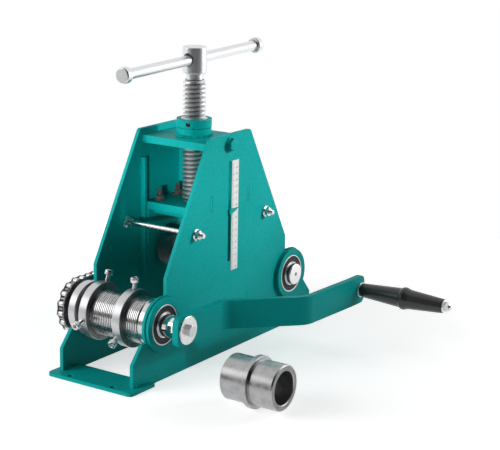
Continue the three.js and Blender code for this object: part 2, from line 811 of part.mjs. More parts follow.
// Grip, turning on a bolt through the end of the arm
const gripGroup = new THREE.Group();
gripGroup.position.set(gripX + shaftX, 0, -gripDrop);
frontGroup.add(gripGroup);
const gripEndY = gripBaseY - gripLength;
const tipWasherY = gripEndY - seatGap - gripWasherThickness;
function gripGeometry() {
  const ridgeStart = gripBaseY - gripTaperLength;
  const ridgeEnd = ridgeStart - gripRidgeLength;
  return turned(
    [
      [gripBoreRadius, gripEndY],
      [gripTipRadius, gripEndY],
      [gripRidgeRadius - gripRidgeRise, ridgeEnd],
      [gripRidgeRadius, ridgeEnd + gripRidgeBevel],
      [gripRidgeRadius, ridgeStart - gripRidgeBevel],
      [gripRidgeRadius - gripRidgeRise, ridgeStart],
      [gripBaseRadius, gripBaseY],
      [gripBoreRadius, gripBaseY],
    ],
    mediumSides,
  );
}
addMesh("crank_grip", gripGeometry(), blackPlastic, gripGroup);
addMesh(
  "grip_washer",
  ringY(
    gripWasherRadius,
    gripBoltRadius + runningGap,
    gripArmFaceY - seatGap - gripWasherThickness,
    gripArmFaceY - seatGap,
    mediumSides,
  ),
  brightSteel,
  gripGroup,
);
addMesh(
  "grip_bolt",
  join(
    barY(gripBoltRadius, tipWasherY - gripNutHeight - gripBoltTipLength, armOuterY, smallSides),
    barY(gripTipRadius, tipWasherY, gripEndY - seatGap, mediumSides),
    barY(gripNutRadius, tipWasherY - gripNutHeight, tipWasherY + 0.5, hexSides),
  ),
  brightSteel,
  gripGroup,
);

// Boss and threaded nut of the press screw on the cross plate
addMesh("screw_boss", ringZ(bossRadius, nutBodyRadius + runningGap, crossPlateTop, bossTop), tealPaint);

function pressNutGeometry() {
  const bore = screwRadius + runningGap;
  const neckTop = bossTop + nutNeckHeight;
  const body = turnedUpright([
    [bore, crossPlateBottom - nutBodyDrop],
    [nutBodyRadius, crossPlateBottom - nutBodyDrop],
    [nutBodyRadius, bossTop],
    [nutNeckRadius, bossTop],
    [nutNeckRadius, neckTop],
    [nutFlangeRadius, neckTop],
    [nutFlangeRadius, nutTop],
    [bore, nutTop],
  ]);
  return cut(body, nutScrewHole(nutScrewRadius + runningGap, bore - 1));
}

function nutScrewHole(radius, start) {
  return barZ(radius, start, nutFlangeRadius + 1, smallSides)
    .rotateY(Math.PI / 2)
    .rotateZ(nutScrewAngle * degree)
    .translate(0, 0, nutTop - nutFlangeHeight / 2);
}
addMesh("press_nut", pressNutGeometry(), tealPaint);
addMesh("nut_set_screw", nutScrewHole(nutScrewRadius, nutFlangeRadius + 1 - nutScrewLength), brightSteel);

// Press screw, turning about Z
const screwShoulder = carriagePlateTop + seatGap;
const journalTip = retainerBottom - journalRingHeight - journalTipLength - seatGap;
function pressScrewGeometry() {
  const body = turnedUpright([
    [0, journalTip],
    [journalRadius, journalTip],
    [journalRadius, screwShoulder],
    [screwRadius, screwShoulder],
    [screwRadius, screwThreadTop],
    [screwNeckRadius, screwThreadTop],
    [screwNeckRadius, screwHeadBottom],
    [screwHeadRadius - screwHeadBevel, screwHeadBottom],
    [screwHeadRadius, screwHeadBottom + screwHeadBevel],
    [screwHeadRadius, screwHeadTop - screwHeadBevel],
    [screwHeadRadius - screwHeadBevel, screwHeadTop],
    [0, screwHeadTop],
  ]);
  const hole = barZ(barHoleRadius, -screwHeadRadius - 1, screwHeadRadius + 1, mediumSides)
    .rotateY(Math.PI / 2)
    .translate(0, 0, barHeight + barHoleRise);
  return cut(body, hole);
}
addMesh("press_screw", pressScrewGeometry(), brightSteel);
addMesh(
  "screw_retaining_ring",
  ringZ(
    journalRingRadius,
    journalRadius + runningGap,
    retainerBottom - seatGap - journalRingHeight,
    retainerBottom - seatGap,
  ),
  brightSteel,
);

// Tommy bar, lying loose and a little tilted in the cross hole of the head
const barGroup = new THREE.Group();
barGroup.position.z = barHeight;
barGroup.rotation.y = -barTilt * degree;
machine.add(barGroup);
const alongX = (geometry) => geometry.rotateY(Math.PI / 2);
const capBore = barCapLength - barCapWall;
addMesh(
  "tommy_bar",
  alongX(
    barZ(barRadius, -barFrontLength + barCapWall + seatGap, barRearLength - barCapWall - seatGap, mediumSides),
  ),
  brightSteel,
  barGroup,
);
for (const [name, length, sign] of [["front", barFrontLength, -1], ["rear", barRearLength, 1]]) {
  const cap = cut(
    barZ(barCapRadius, length - barCapLength, length, mediumSides),
    barZ(barRadius + runningGap, length - barCapLength - 1, length - barCapLength + capBore, mediumSides),
  );
  addMesh(`bar_cap_${name}`, alongX(sign < 0 ? cap.rotateX(Math.PI) : cap), brightSteel, barGroup);
}

// Carriage: top plate, cheeks, retaining plate and its four studs with nuts
const studPlaces = [-1, 1].flatMap((along) => [-1, 1].map((across) => [along * studX, across * studY]));
const studHole = ([x, y]) =>
  barZ(studRadius + runningGap, retainerBottom - 1, carriagePlateTop + 1, smallSides).translate(x, y, 0);
const journalHole = () => barZ(journalRadius + runningGap, retainerBottom - 1, carriagePlateTop + 1);
addMesh(
  "carriage_top_plate",
  cut(
    block(
      [-carriageHalfLength, carriageHalfLength],
      [-carriageHalfWidth, carriageHalfWidth],
      [carriagePlateBottom, carriagePlateTop],
    ),
    journalHole(),
    ...studPlaces.map(studHole),
  ),
  tealPaint,
);
addMesh(
  "retaining_plate",
  cut(
    block(
      [-retainerHalfLength, retainerHalfLength],
      [-retainerHalfWidth, retainerHalfWidth],
      [retainerBottom, carriagePlateBottom],
    ),
    journalHole(),
    ...studPlaces.map(studHole),
  ),
  tealPaint,
);
studPlaces.forEach(([x, y], i) => {
  const flangeTop = carriagePlateTop + studFlangeThickness;
  const stud = join(
    barZ(studRadius, retainerBottom + 0.5, carriagePlateTop + studTop, smallSides),
    barZ(studFlangeRadius, carriagePlateTop, flangeTop, mediumSides),
    barZ(studNutRadius, flangeTop - 0.5, carriagePlateTop + studNutHeight, hexSides),
  );
  addMesh(`carriage_stud_${i + 1}`, stud, darkSteel).position.set(x, y, 0);
});

function cheekGeometry() {
  const shape = rectangle(-carriageHalfLength, cheekBottom, carriageHalfLength, carriagePlateBottom);
  shape.holes.push(circleShape(0, pressRollerHeight, pressAxleRadius + runningGap, mediumSides));
  return uprightSlab(shape, cheekThickness);
}
const cheekY = carriageHalfWidth - cheekThickness / 2;
for (const [side, sign] of Object.entries(sides))
  addMesh(`carriage_cheek_${side}`, cheekGeometry(), tealPaint).position.y = sign * cheekY;

// Pointer: a tongue from the near cheek through the slot, with a wedge over the scale
function pointerGeometry() {
  const faceY = -outsideY - scaleThickness - runningGap;
  const halfSlot = slotWidth / 2 - 0.5;
  const stem = block(
    [slotCentreX - halfSlot, slotCentreX + halfSlot],
    [faceY - pointerThickness, -carriageHalfWidth],
    [-pointerHeight / 2, pointerHeight / 2],
  );
  const wedge = new THREE.Shape();
  wedge.moveTo(slotCentreX - halfSlot, -pointerHeight / 2);
  wedge.lineTo(slotCentreX + halfSlot + 1, -pointerHeight / 2);
  wedge.lineTo(pointerReach, pointerHeight / 2);
  wedge.lineTo(slotCentreX - halfSlot, pointerHeight / 2);
  const blade = uprightSlab(wedge, pointerThickness).translate(0, faceY - pointerThickness / 2, 0);
  return join(stem, blade);
}
addMesh("scale_pointer", pointerGeometry(), tealPaint).position.z = pointerMiddle;

// Press roller on its axle between the cheeks
const axleEndY = carriageHalfWidth + pressAxleEnd;
addMesh("press_roller_axle", barY(pressAxleRadius, -axleEndY, axleEndY, mediumSides), brightSteel).position.z =
  pressRollerHeight;
addMesh(
  "press_roller",
  ringY(pressRollerRadius, pressAxleRadius + runningGap, -pressRollerHalfWidth, pressRollerHalfWidth),
  darkSteel,
).position.z = pressRollerHeight;

// Spare roller sleeve, lying on its flange beside the machine
function spareGeometry() {
  const flangeEnd = spareFlangeStart + spareFlangeWidth;
  return turned([
    [spareBoreRadius, 0],
    [spareRadius - spareBevel, 0],
    [spareRadius, spareBevel],
    [spareRadius, spareFlangeStart],
    [spareFlangeRadius, spareFlangeStart],
    [spareFlangeRadius, flangeEnd],
    [spareRadius, flangeEnd],
    [spareRadius, spareLength - spareBevel],
    [spareRadius - spareBevel, spareLength],
    [spareBoreRadius, spareLength],
  ]);
}
addMesh("spare_sleeve", spareGeometry(), turnedSteel).position.set(spareX, spareEndY, spareFlangeRadius);

const model = new THREE.Group();
model.add(machine);
export default model;
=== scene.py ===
"""Looks of a hand-cranked ring roller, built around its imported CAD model.

Each piece keeps the place and the size of the CAD node that it stands for. Lengths are in metres, +Z is up,
X runs from the front foot to the rear one and -Y is the crank's side.
"""
import math

import bmesh
import bpy
from bpy.props import FloatProperty, FloatVectorProperty, IntProperty, PointerProperty
from bpy.types import Operator, Panel, PropertyGroup
from mathutils import Matrix, Vector


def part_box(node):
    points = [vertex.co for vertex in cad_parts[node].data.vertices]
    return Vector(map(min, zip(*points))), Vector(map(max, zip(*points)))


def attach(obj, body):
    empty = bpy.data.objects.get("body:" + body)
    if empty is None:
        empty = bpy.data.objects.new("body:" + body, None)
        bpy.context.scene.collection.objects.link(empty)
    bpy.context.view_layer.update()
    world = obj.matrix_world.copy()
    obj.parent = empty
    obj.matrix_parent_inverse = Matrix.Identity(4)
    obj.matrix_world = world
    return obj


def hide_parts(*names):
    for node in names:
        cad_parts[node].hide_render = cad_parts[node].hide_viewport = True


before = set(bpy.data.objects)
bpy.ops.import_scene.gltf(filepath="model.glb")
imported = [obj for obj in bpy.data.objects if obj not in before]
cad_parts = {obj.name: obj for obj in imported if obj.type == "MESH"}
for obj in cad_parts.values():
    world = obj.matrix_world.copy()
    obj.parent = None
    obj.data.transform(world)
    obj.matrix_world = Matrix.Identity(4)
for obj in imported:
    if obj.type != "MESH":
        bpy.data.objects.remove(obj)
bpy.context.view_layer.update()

bl_info = {
    "name": "Ring Roller",
    "version": (1, 0, 0),
    "blender": (4, 5, 0),
    "location": "View3D > Sidebar > Ring Roller",
    "description": "Builds a hand-cranked ring roller around its packed CAD model",
    "category": "Object",
}

# Points closer than TOUCH are one point. PLAY is the room between pieces that fit into one another,
# OVERLAP is how far parts of one piece run into one another, and MARGIN is the least step in a shape.
# A weld's middle line stands WELD_OFFSET off its corner, and the scale's print stands PRINT_HEIGHT proud.
TOUCH = 1e-6
PLAY = 0.0003
OVERLAP = 0.001
MARGIN = 0.0002
WELD_OFFSET = 0.0006
PRINT_HEIGHT = 0.00006

# A thread is painted dark below this share of its depth, as painted shade in its valleys, and most of a
# noise lies in this range
SHADED_VALLEY_SHARE = 0.75
NOISE_RANGE = (0.3, 0.7)

SHARP = math.radians(34)
FLAT = math.radians(1)
ROUND_STEPS = 96
FINE_STEPS = 48
SMALL_STEPS = 32
TINY_STEPS = 24
ARC_STEPS = 3
HEX_SLOPE = math.tan(math.radians(30))
SIDES = {"near": -1, "far": 1}
ENDS = {"front": -1, "rear": 1}

# Turns that bring a piece's own Z axis on an axis of the machine
TURNS = {
    "Z": Matrix.Identity(4),
    "Y": Matrix.Rotation(-math.pi / 2, 4, "X"),
    "-Y": Matrix.Rotation(math.pi / 2, 4, "X"),
    "X": Matrix.Rotation(math.pi / 2, 4, "Y"),
}
OUTWARD = {"near": "-Y", "far": "Y"}

# The record's material slot of a piece, then the finishes that it wears
TEAL = ("teal_paint", "teal_enamel")
BRIGHT = ("bright_steel", "bright_steel")
PLATED = ("bright_steel", "plated_steel")
TURNED = ("turned_steel", "turned_steel")
DARK = ("dark_steel", "dark_steel")

# Ridges of a thread as (share of the pitch, share of the depth)
ACME_FORM = ((0, 1), (0.3, 1), (0.44, 0), (0.86, 0))
VEE_FORM = ((0, 1), (0.12, 1), (0.5, 0), (0.62, 0))
GROOVE_FORM = ((0, 1), (0.26, 1), (0.4, 0), (0.86, 0))


def middle(node):
    """Centre of a CAD node's box."""
    low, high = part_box(node)
    return (low + high) / 2


def reach(node):
    """Half of the size of a CAD node's box."""
    low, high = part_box(node)
    return (high - low) / 2


def on_axis(node):
    """Place of a shaft's axis, on the machine's middle plane."""
    centre = middle(node)
    return Vector((centre.x, 0, centre.z))


def screw_axis():
    """Place of the press screw's axis on the ground."""
    return Vector((middle("press_screw").x, 0, 0))


def outward_span(node):
    """Distances of a CAD node's inner and outer face from the machine's middle plane."""
    low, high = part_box(node)
    return sorted((abs(low.y), abs(high.y)))


# Sizes and colours that a user would change
def length(name, description, default):
    return FloatProperty(name=name, description=description, default=default, unit="LENGTH", precision=5)


def tilt(name, description, degrees):
    return FloatProperty(name=name, description=description, default=math.radians(degrees), subtype="ANGLE")


def number(name, description, default):
    return FloatProperty(name=name, description=description, default=default)


def colour(name, description, default):
    return FloatVectorProperty(
        name=name, description=description, default=default, subtype="COLOR", size=3, min=0, max=1
    )


class PaintSettings(PropertyGroup):
    enamel: colour("Enamel", "Colour of the painted steel", (0.002, 0.37, 0.355))
    edge: length("Edge", "Rounding of the painted plates' edges", 0.0007)
    grain: length("Grain", "Size of the grain in the enamel", 0.0011)
    grain_depth: length("Grain depth", "Height of the grain in the enamel", 0.00012)
    wave: length("Wave", "Size of the soft waves in the enamel", 0.035)
    bead: length("Weld bead", "Radius of the painted weld beads", 0.0021)
    bead_step: length("Bead step", "Length of one ripple in a weld bead", 0.0017)
    weld_inset: length("Weld inset", "Distance of the foot's welds from the plates' ends", 0.012)
    rail_weld: length("Rail weld", "Length of a weld on a guide rail", 0.024)


class MetalSettings(PropertyGroup):
    bright: colour("Bright", "Colour of plated and ground steel", (0.83, 0.83, 0.84))
    turned: colour("Turned", "Colour of bare turned steel", (0.6, 0.595, 0.59))
    # The dark colour also serves as the painted shade in the thread valleys
    dark: colour("Dark", "Colour of oiled dark steel", (0.055, 0.052, 0.05))
    stud: colour("Stud", "Colour of the carriage's dark studs", (0.3, 0.22, 0.2))
    roller: colour("Press roller", "Colour of the press roller", (0.4, 0.37, 0.37))
    line: length("Lathe line", "Spacing of the fine lines that turning leaves", 0.0005)
    stain: length("Stain", "Size of the faint stains in turned steel", 0.012)
    skin: length("Skin", "Size of the grain in plated steel", 0.0016)
    edge: length("Edge", "Rounding of the steel pieces' edges", 0.0006)


class FastenerSettings(PropertyGroup):
    thread: length("Thread", "Radius of the small threads", 0.004)
    pitch: length("Pitch", "Rise of the small threads in a turn", 0.00125)
    depth: length("Depth", "Depth of the small threads", 0.0007)
    shallow: length("Shallow depth", "Depth of the small threads that hardly show", 0.0006)
    core: length("Core", "Radius of a stud below its thread and of the nuts' bores", 0.0036)
    nut_flange: length("Nut flange", "Radius of a tie rod nut's flange", 0.009)
    nut_width: length("Nut width", "Half of a tie rod nut's width across the flats", 0.0065)
    nut_height: length("Nut height", "Height of a tie rod nut", 0.008)
    stud_flange: length("Stud flange", "Radius of a stud nut's flange", 0.0086)
    stud_width: length("Stud nut width", "Half of a stud nut's width across the flats", 0.0062)
    stud_height: length("Stud nut height", "Height of a stud nut", 0.007)
    washer: length("Washer", "Radius of a cross bolt's washer", 0.0115)
    washer_height: length("Washer height", "Height of a cross bolt's washer", 0.002)
    bolt_width: length("Bolt width", "Half of a cross bolt's width across the flats", 0.0088)


class ScrewSettings(PropertyGroup):
    crest: length("Crest", "Radius of the press screw's thread", 0.018)
    pitch: length("Pitch", "Rise of the press screw's thread in a turn", 0.007)
    depth: length("Depth", "Depth of the press screw's thread", 0.0034)
    neck: length("Neck", "Radius of the neck under the head", 0.0132)
    neck_height: length("Neck height", "Height of the neck under the head", 0.009)
    head_bevel: length("Head bevel", "Bevel of the head's rims", 0.0016)
    head_height: length("Head height", "Height of the head", 0.042)
    cross_hole: length("Cross hole", "Radius of the hole for the tommy bar", 0.0095)
    cross_hole_rise: length("Hole rise", "Height of the hole's axis over the head's middle", 0.0016)
    journal: length("Journal", "Radius of the journal in the carriage", 0.01)
    bar: length("Bar", "Radius of the tommy bar", 0.008)
    bar_tilt: tilt("Bar tilt", "Slope of the loose tommy bar", 1.6)
    cap: length("Cap", "Radius of the tommy bar's end caps", 0.0125)
    cap_length: length("Cap length", "Length of an end cap", 0.012)
    cap_wall: length("Cap wall", "Thickness of an end cap's closed end", 0.004)
    nut_body: length("Nut body", "Radius of the press nut below its flange", 0.023)
    nut_flange: length("Nut flange", "Height of the press nut's flange", 0.013)
    nut_groove: length("Nut groove", "Depth of the groove under the flange", 0.0018)
    nut_bore: length("Nut bore", "Radius of the press nut's bore", 0.0183)
    set_screw: length("Set screw", "Radius of the nut's set screw", 0.0034)
    set_length: length("Set screw length", "How far the nut's set screw goes in", 0.0065)
    set_socket: length("Set screw socket", "Half of the width of the set screw's socket", 0.0016)
    set_depth: length("Set screw socket depth", "Depth of the set screw's socket", 0.003)


class RollerSettings(PropertyGroup):
    pitch: length("Thread pitch", "Rise of the sleeve's thread in a turn", 0.0033)
    depth: length("Thread depth", "Depth of the sleeve's thread", 0.0021)
    end: length("Plain end", "Length of the sleeve's smooth end", 0.01)
    step: length("Step", "How much lower the smooth end is", 0.0014)
    bore: length("Bore", "Radius of the sleeve's bore", 0.0178)
    shaft: length("Shaft", "Radius of the roller shafts", 0.0175)
    centre_hole: length("Centre hole", "Radius of the hole in a shaft's end", 0.0032)
    centre_depth: length("Centre depth", "Depth of the hole in a shaft's end", 0.006)
    key_width: length("Keyway width", "Width of the keyway", 0.01)
    key_depth: length("Keyway depth", "Depth of the keyway", 0.005)
    key_length: length("Keyway length", "Length of the keyway from the shaft's end", 0.034)
    key_angle: tilt("Keyway angle", "Place of the keyway", 174)
    outer_race: length("Outer race", "Inner radius of the bearing's outer race", 0.0293)
    inner_race: length("Inner race", "Outer radius of the bearing's inner race", 0.0197)
    seal_depth: length("Seal depth", "How far the seal lies back", 0.0008)
    bearing: length("Bearing", "Radius of the bearing", 0.031)
    press_bore: length("Press roller bore", "Radius of the press roller's bore", 0.0103)
    press_recess: length("Recess", "Radius of the shallow recess in the press roller's end faces", 0.0165)
    spare_body: length("Spare body", "Radius of the spare sleeve beside its flange", 0.0342)
    spare_bore: length("Spare bore", "Radius of the spare sleeve's bore", 0.0248)
    spare_start: length("Spare start", "Length of the spare sleeve before its flange", 0.0409)
    spare_flange: length("Spare flange", "Width of the spare sleeve's flange", 0.0077)


class CollarSettings(PropertyGroup):
    screws: IntProperty(name="Screws", description="Clamping screws in a collar", default=3, min=1)
    width: length("Width", "Width of a guide collar", 0.015)
    radius: length("Radius", "Radius of a guide collar", 0.045)
    bore: length("Bore", "Radius of a collar's bore", 0.0364)
    shank: length("Shank", "Radius of a clamping screw", 0.004)
    head: length("Head", "Radius of a clamping screw's head", 0.0065)
    head_height: length("Head height", "Height of a clamping screw's head", 0.008)
    knurls: IntProperty(name="Knurls", description="Knurls round a clamping screw's head", default=36, min=3)
    knurl: length("Knurl", "Depth of a knurl", 0.00025)
    top: length("Top", "Distance from the roller's axis to the top of a screw's head", 0.063)
    socket: length("Socket", "Half of the socket's width", 0.003)
    socket_depth: length("Socket depth", "Depth of the socket", 0.0035)
    near_angle: tilt("Near angle", "Turn of the near collar", 88)
    far_angle: tilt("Far angle", "Turn of the far collar", 70)


class ChainSettings(PropertyGroup):
    teeth: IntProperty(name="Teeth", description="Teeth of each sprocket", default=16, min=8)
    run: IntProperty(name="Run", description="Pitches in a straight run", default=23, min=2)
    phase: number("Phase", "Place of the first roller, in pitches", 0.29)
    plate: length("Plate height", "Height of a link plate", 0.0098)
    waist: length("Waist", "Height of a link plate halfway", 0.0072)
    thickness: length("Plate thickness", "Thickness of a link plate", 0.0014)
    inner: length("Inner width", "Space between the inner plates", 0.0076)
    gap: length("Gap", "Room between two plates on a pin", 0.0002)
    roller: length("Roller", "Radius of a chain roller", 0.0047)
    pin: length("Pin", "Radius of a chain pin", 0.0022)
    tooth_width: length("Tooth width", "Thickness of the sprocket's toothed plate", 0.007)
    tooth_rise: length("Tooth rise", "Height of a tooth over the chain's line", 0.0034)
    seat: length("Seat", "Radius of the seat between two teeth", 0.0051)
    hub: length("Hub", "Radius of the sprocket's hub", 0.025)


class CrankSettings(PropertyGroup):
    thickness: length("Thickness", "Thickness of the arm", 0.01)
    height: length("Height", "Height of the arm", 0.0454)
    corner: length("Corner", "Radius of the arm's corners", 0.01)
    bend: length("Bend", "Inner radius of the arm's bends", 0.025)
    front_reach: length("Front reach", "How far the arm stands ahead of the shaft", 0.025)
    first_bend: length("First bend", "Distance of the first bend from the shaft", 0.0968)
    second_bend: length("Second bend", "Distance of the second bend from the shaft", 0.1928)
    lean: length("Lean", "How far the outer run still leans outward", 0.0046)
    eye: length("Eye", "Length of the arm's end on the grip's side", 0.038)
    drop: length("Drop", "How far the grip's axis lies below the shaft's", 0.002)
    grip_base: length("Grip base", "Radius of the grip next to the arm", 0.0105)
    grip_ridge: length("Grip ridge", "Radius of the grip's ridge", 0.018)
    grip_tip: length("Grip tip", "Radius of the grip's end", 0.011)
    grip_bore: length("Grip bore", "Radius of the grip's bore", 0.0053)
    taper: length("Taper", "Length of the grip from the arm to its ridge", 0.0735)
    ridge: length("Ridge", "Width of the grip's ridge", 0.009)
    bolt: length("Bolt head", "Half of the width across the flats of the bolt's head", 0.0078)
    shank: length("Bolt shank", "Radius of the bolt in the shaft's end", 0.006)
    axle: length("Axle", "Radius of the grip's bolt", 0.005)
    axle_pitch: length("Axle pitch", "Rise of the grip bolt's thread in a turn", 0.0015)
    washer_height: length("Washer height", "Height of the washer at the grip's end", 0.0025)
    nut: length("Grip nut", "Half of the width across the flats of the grip's nut", 0.0069)
    nut_height: length("Grip nut height", "Height of the grip's nut", 0.0065)


class ScaleSettings(PropertyGroup):
    spacing: length("Spacing", "Distance between two numbered marks", 0.01)
    mark: length("Mark", "Length of a numbered mark", 0.0052)
    line: length("Line", "Width of a mark", 0.0005)
    mark_inset: length("Mark inset", "Distance of the marks from the strip's front edge", 0.0012)
    figure: length("Figure", "Height of the numbers", 0.0048)
    figure_inset: length("Figure inset", "Distance of the numbers from the strip's rear edge", 0.0055)
    ink: colour("Ink", "Colour of the marks", (0.09, 0.07, 0.075))
    paper: colour("Paper", "Colour of the strip", (0.8, 0.8, 0.79))


class StageSettings(PropertyGroup):
    focal: number("Focal length", "Focal length of the camera, in mm", 111.416)
    sensor: number("Sensor", "Width of the camera's sensor, in mm", 36)
    place: FloatVectorProperty(
        name="Place",
        description="The camera's place from the ground under the press screw",
        default=(-1.93045, -1.3951, 0.80047),
        subtype="TRANSLATION",
        unit="LENGTH",
    )
    heading: tilt("Heading", "The camera's heading from +X", 33.69)
    pitch: tilt("Pitch", "How far the camera looks down", 14.25)
    roll: tilt("Roll", "The camera's roll", 1.04)
    floor: colour("Floor", "Colour of the floor", (0.86, 0.86, 0.86))
    floor_radius: length("Floor radius", "Radius of the round floor", 0.9)
    glow: number("Floor glow", "Light of the floor itself near the machine", 0.6)
    world: number("World", "Strength of the wide soft light", 0.36)
    left: number("Left light", "Power of the wide light on the left, in W", 40)
    right: number("Right light", "Power of the wide light on the right, in W", 5)
    top: number("Top light", "Power of the light overhead, in W", 2)
    gleam: number("Gleam", "Power of the light that the metal shows, in W", 8.5)
    plate: number("Plate light", "Power of the spot on the near plate, in W", 74)
    tower: number("Tower light", "Power of the spot on the tower, in W", 190)


class RingRollerSettings(PropertyGroup):
    paint: PointerProperty(type=PaintSettings)
    metal: PointerProperty(type=MetalSettings)
    fastener: PointerProperty(type=FastenerSettings)
    screw: PointerProperty(type=ScrewSettings)
    roller: PointerProperty(type=RollerSettings)
    collar: PointerProperty(type=CollarSettings)
    chain: PointerProperty(type=ChainSettings)
    crank: PointerProperty(type=CrankSettings)
    scale: PointerProperty(type=ScaleSettings)
    stage: PointerProperty(type=StageSettings)


def settings():
    return bpy.context.scene.ring_roller


# Shapes
def polar(radius, angle):
    """The x and y of a point at a distance and an angle from the axis."""
    return radius * math.cos(angle), radius * math.sin(angle)


def at(value, angle):
    """A value at an angle, of one that may depend on it."""
    return value(angle) if callable(value) else value


def eased(profile, ease):
    """A closed profile of (radius, height) points with its corners rounded; points on the axis stay."""
    points = [Vector(point) for point in profile]
    rounded = []
    for i, point in enumerate(points):
        back = points[i - 1] - point
        ahead = points[(i + 1) % len(points)] - point
        cut = min(ease, back.length * 0.4, ahead.length * 0.4)
        if point.x < TOUCH or cut < TOUCH:
            rounded.append(point)
            continue
        start = point + back.normalized() * cut
        end = point + ahead.normalized() * cut
        for step in range(ARC_STEPS + 1):
            share = step / ARC_STEPS
            rounded.append(start.lerp(point, share).lerp(point.lerp(end, share), share))
    return rounded


def mirrored(half, centre=0):
    """A closed profile from its points below the centre, which are repeated above it."""
    return [*half, *((radius, 2 * centre - height) for radius, height in reversed(half))]


def bridge(bm, rings):
    """Joins each ring of points to the next one."""
    for low, high in zip(rings, rings[1:]):
        for k in range(len(low)):
            after = (k + 1) % len(low)
            bm.faces.new((low[k], low[after], high[after], high[k]))


def facing_out(bm):
    bmesh.ops.recalc_face_normals(bm, faces=bm.faces)
    return bm


def lofted(rows, steps=ROUND_STEPS):
    """Rings about the local Z axis, one for each (radius, height) row; either may depend on the angle."""
    bm = bmesh.new()
    angles = [2 * math.pi * k / steps for k in range(steps)]
    rings = []
    for radius, height in rows:
        points = [(*polar(at(radius, angle), angle), at(height, angle)) for angle in angles]
        rings.append([bm.verts.new(point) for point in points])
    if max(rings[0][0].co.xy.length, rings[-1][0].co.xy.length) >= TOUCH:
        rings.append(rings[0])
    bridge(bm, rings)
    bmesh.ops.remove_doubles(bm, verts=bm.verts, dist=TOUCH)
    return facing_out(bm)


def turned(profile, ease=None, steps=ROUND_STEPS):
    """A turned piece about the local Z axis, from a closed profile of (radius, height) points."""
    if ease is None:
        ease = settings().metal.edge
    return lofted([tuple(point) for point in eased(profile, ease)], steps)


def ring(outer, inner, low, high, ease=None, steps=ROUND_STEPS):
    return turned([(inner, low), (outer, low), (outer, high), (inner, high)], ease, steps)


def rod(radius, low, high, ease=None, steps=ROUND_STEPS):
    return ring(radius, 0, low, high, ease, steps)


def across_flats(half_width):
    """Radius of a hexagon at an angle, from half of its width across the flats."""
    sixth = math.pi / 3
    return lambda angle: half_width / math.cos((angle + sixth / 2) % sixth - sixth / 2)


def hexagon_top(half_width, high):
    """The last rows of a hexagon, whose corners are turned off at the top."""
    side = across_flats(half_width)
    crown = half_width * 0.98
    return [(side, lambda angle: high - (side(angle) - crown) * HEX_SLOPE), (crown, high)]


def hexagon(half_width, low, high, bore=0.0):
    rows = [(bore, low), (across_flats(half_width), low), *hexagon_top(half_width, high), (bore, high)]
    return lofted(rows, FINE_STEPS * 2)


def flange_nut(flange, half_width, low, height, bore):
    """A hexagon on a flange that slopes up to it."""
    high = low + height
    rim = height * 0.16
    edge = 0.0003
    bevel = 0.0006
    rows = [
        (bore, low),
        (flange - edge, low),
        (flange, low + edge),
        (flange, low + rim),
        (across_flats(half_width), low + rim * 2),
        *hexagon_top(half_width, high),
        (bore + bevel, high),
        (bore, high - bevel),
    ]
    return lofted(rows, FINE_STEPS * 2)


def thread(radius, depth, pitch, low, high, form, steps):
    """A threaded rod whose ends are bevelled; form holds one of its ridges."""
    bm = bmesh.new()
    rows = []
    root = radius - depth
    for turn in range(-1, math.ceil((high - low) / pitch) + 2):
        for share, sunk in form:
            row = []
            for k in range(steps):
                z = low + (turn + share + k / steps) * pitch
                bevel = root + max(min(z - low, high - z), 0)
                point = polar(min(radius - depth * sunk, bevel), 2 * math.pi * k / steps)
                row.append(bm.verts.new((*point, z)))
            rows.append(row)
    for i in range(len(rows) - 1):
        for k in range(steps - 1):
            bm.faces.new((rows[i][k], rows[i][k + 1], rows[i + 1][k + 1], rows[i + 1][k]))
        joint = i + len(form)
        if joint + 1 < len(rows):
            bm.faces.new((rows[i][-1], rows[joint][0], rows[joint + 1][0], rows[i + 1][-1]))
    for height, side in ((low, -1), (high, 1)):
        bmesh.ops.bisect_plane(
            bm,
            geom=bm.verts[:] + bm.edges[:] + bm.faces[:],
            plane_co=(0, 0, height),
            plane_no=(0, 0, side),
            clear_outer=True,
        )
    bmesh.ops.holes_fill(bm, edges=[edge for edge in bm.edges if edge.is_boundary], sides=0)
    return facing_out(bm)


def small_thread(radius, depth, low, high, steps=SMALL_STEPS):
    return thread(radius, depth, settings().fastener.pitch, low, high, VEE_FORM, steps)


def prism(outline, low, high, ease=0.0):
    """A plate of an outline of (x, y) points from low to high along the local Z axis."""
    bm = bmesh.new()
    floor = [bm.verts.new((x, y, low)) for x, y in outline]
    roof = [bm.verts.new((x, y, high)) for x, y in outline]
    bm.faces.new(floor)
    bm.faces.new(roof)
    bridge(bm, [floor, roof])
    facing_out(bm)
    if ease > 0:
        ease_edges(bm, ease)
    return bm


def box(low, high):
    outline = ((low[0], low[1]), (high[0], low[1]), (high[0], high[1]), (low[0], high[1]))
    return prism(outline, low[2], high[2])


def ease_edges(bm, ease):
    """Rounds the sharp edges of a mesh."""
    sharp = [edge for edge in bm.edges if len(edge.link_faces) == 2 and edge.calc_face_angle(0) > SHARP]
    bmesh.ops.bevel(
        bm, geom=sharp, offset=ease, segments=ARC_STEPS, profile=0.5, affect="EDGES", clamp_overlap=True
    )


def softened(node, ease=None):
    """A copy of a flat CAD node with its edges rounded, as shearing and paint leave them."""
    bm = bmesh.new()
    bm.from_mesh(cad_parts[node].data)
    bmesh.ops.remove_doubles(bm, verts=bm.verts, dist=TOUCH)
    bmesh.ops.dissolve_limit(bm, angle_limit=FLAT, verts=bm.verts, edges=bm.edges)
    ease_edges(bm, settings().paint.edge if ease is None else ease)
    return bm


def joined(first, *others):
    """All parts in one mesh."""
    for other in others:
        mesh = bpy.data.meshes.new("part")
        other.to_mesh(mesh)
        other.free()
        first.from_mesh(mesh)
        bpy.data.meshes.remove(mesh)
    return first


def moved(bm, matrix):
    bmesh.ops.transform(bm, matrix=matrix, verts=bm.verts)
    return bm


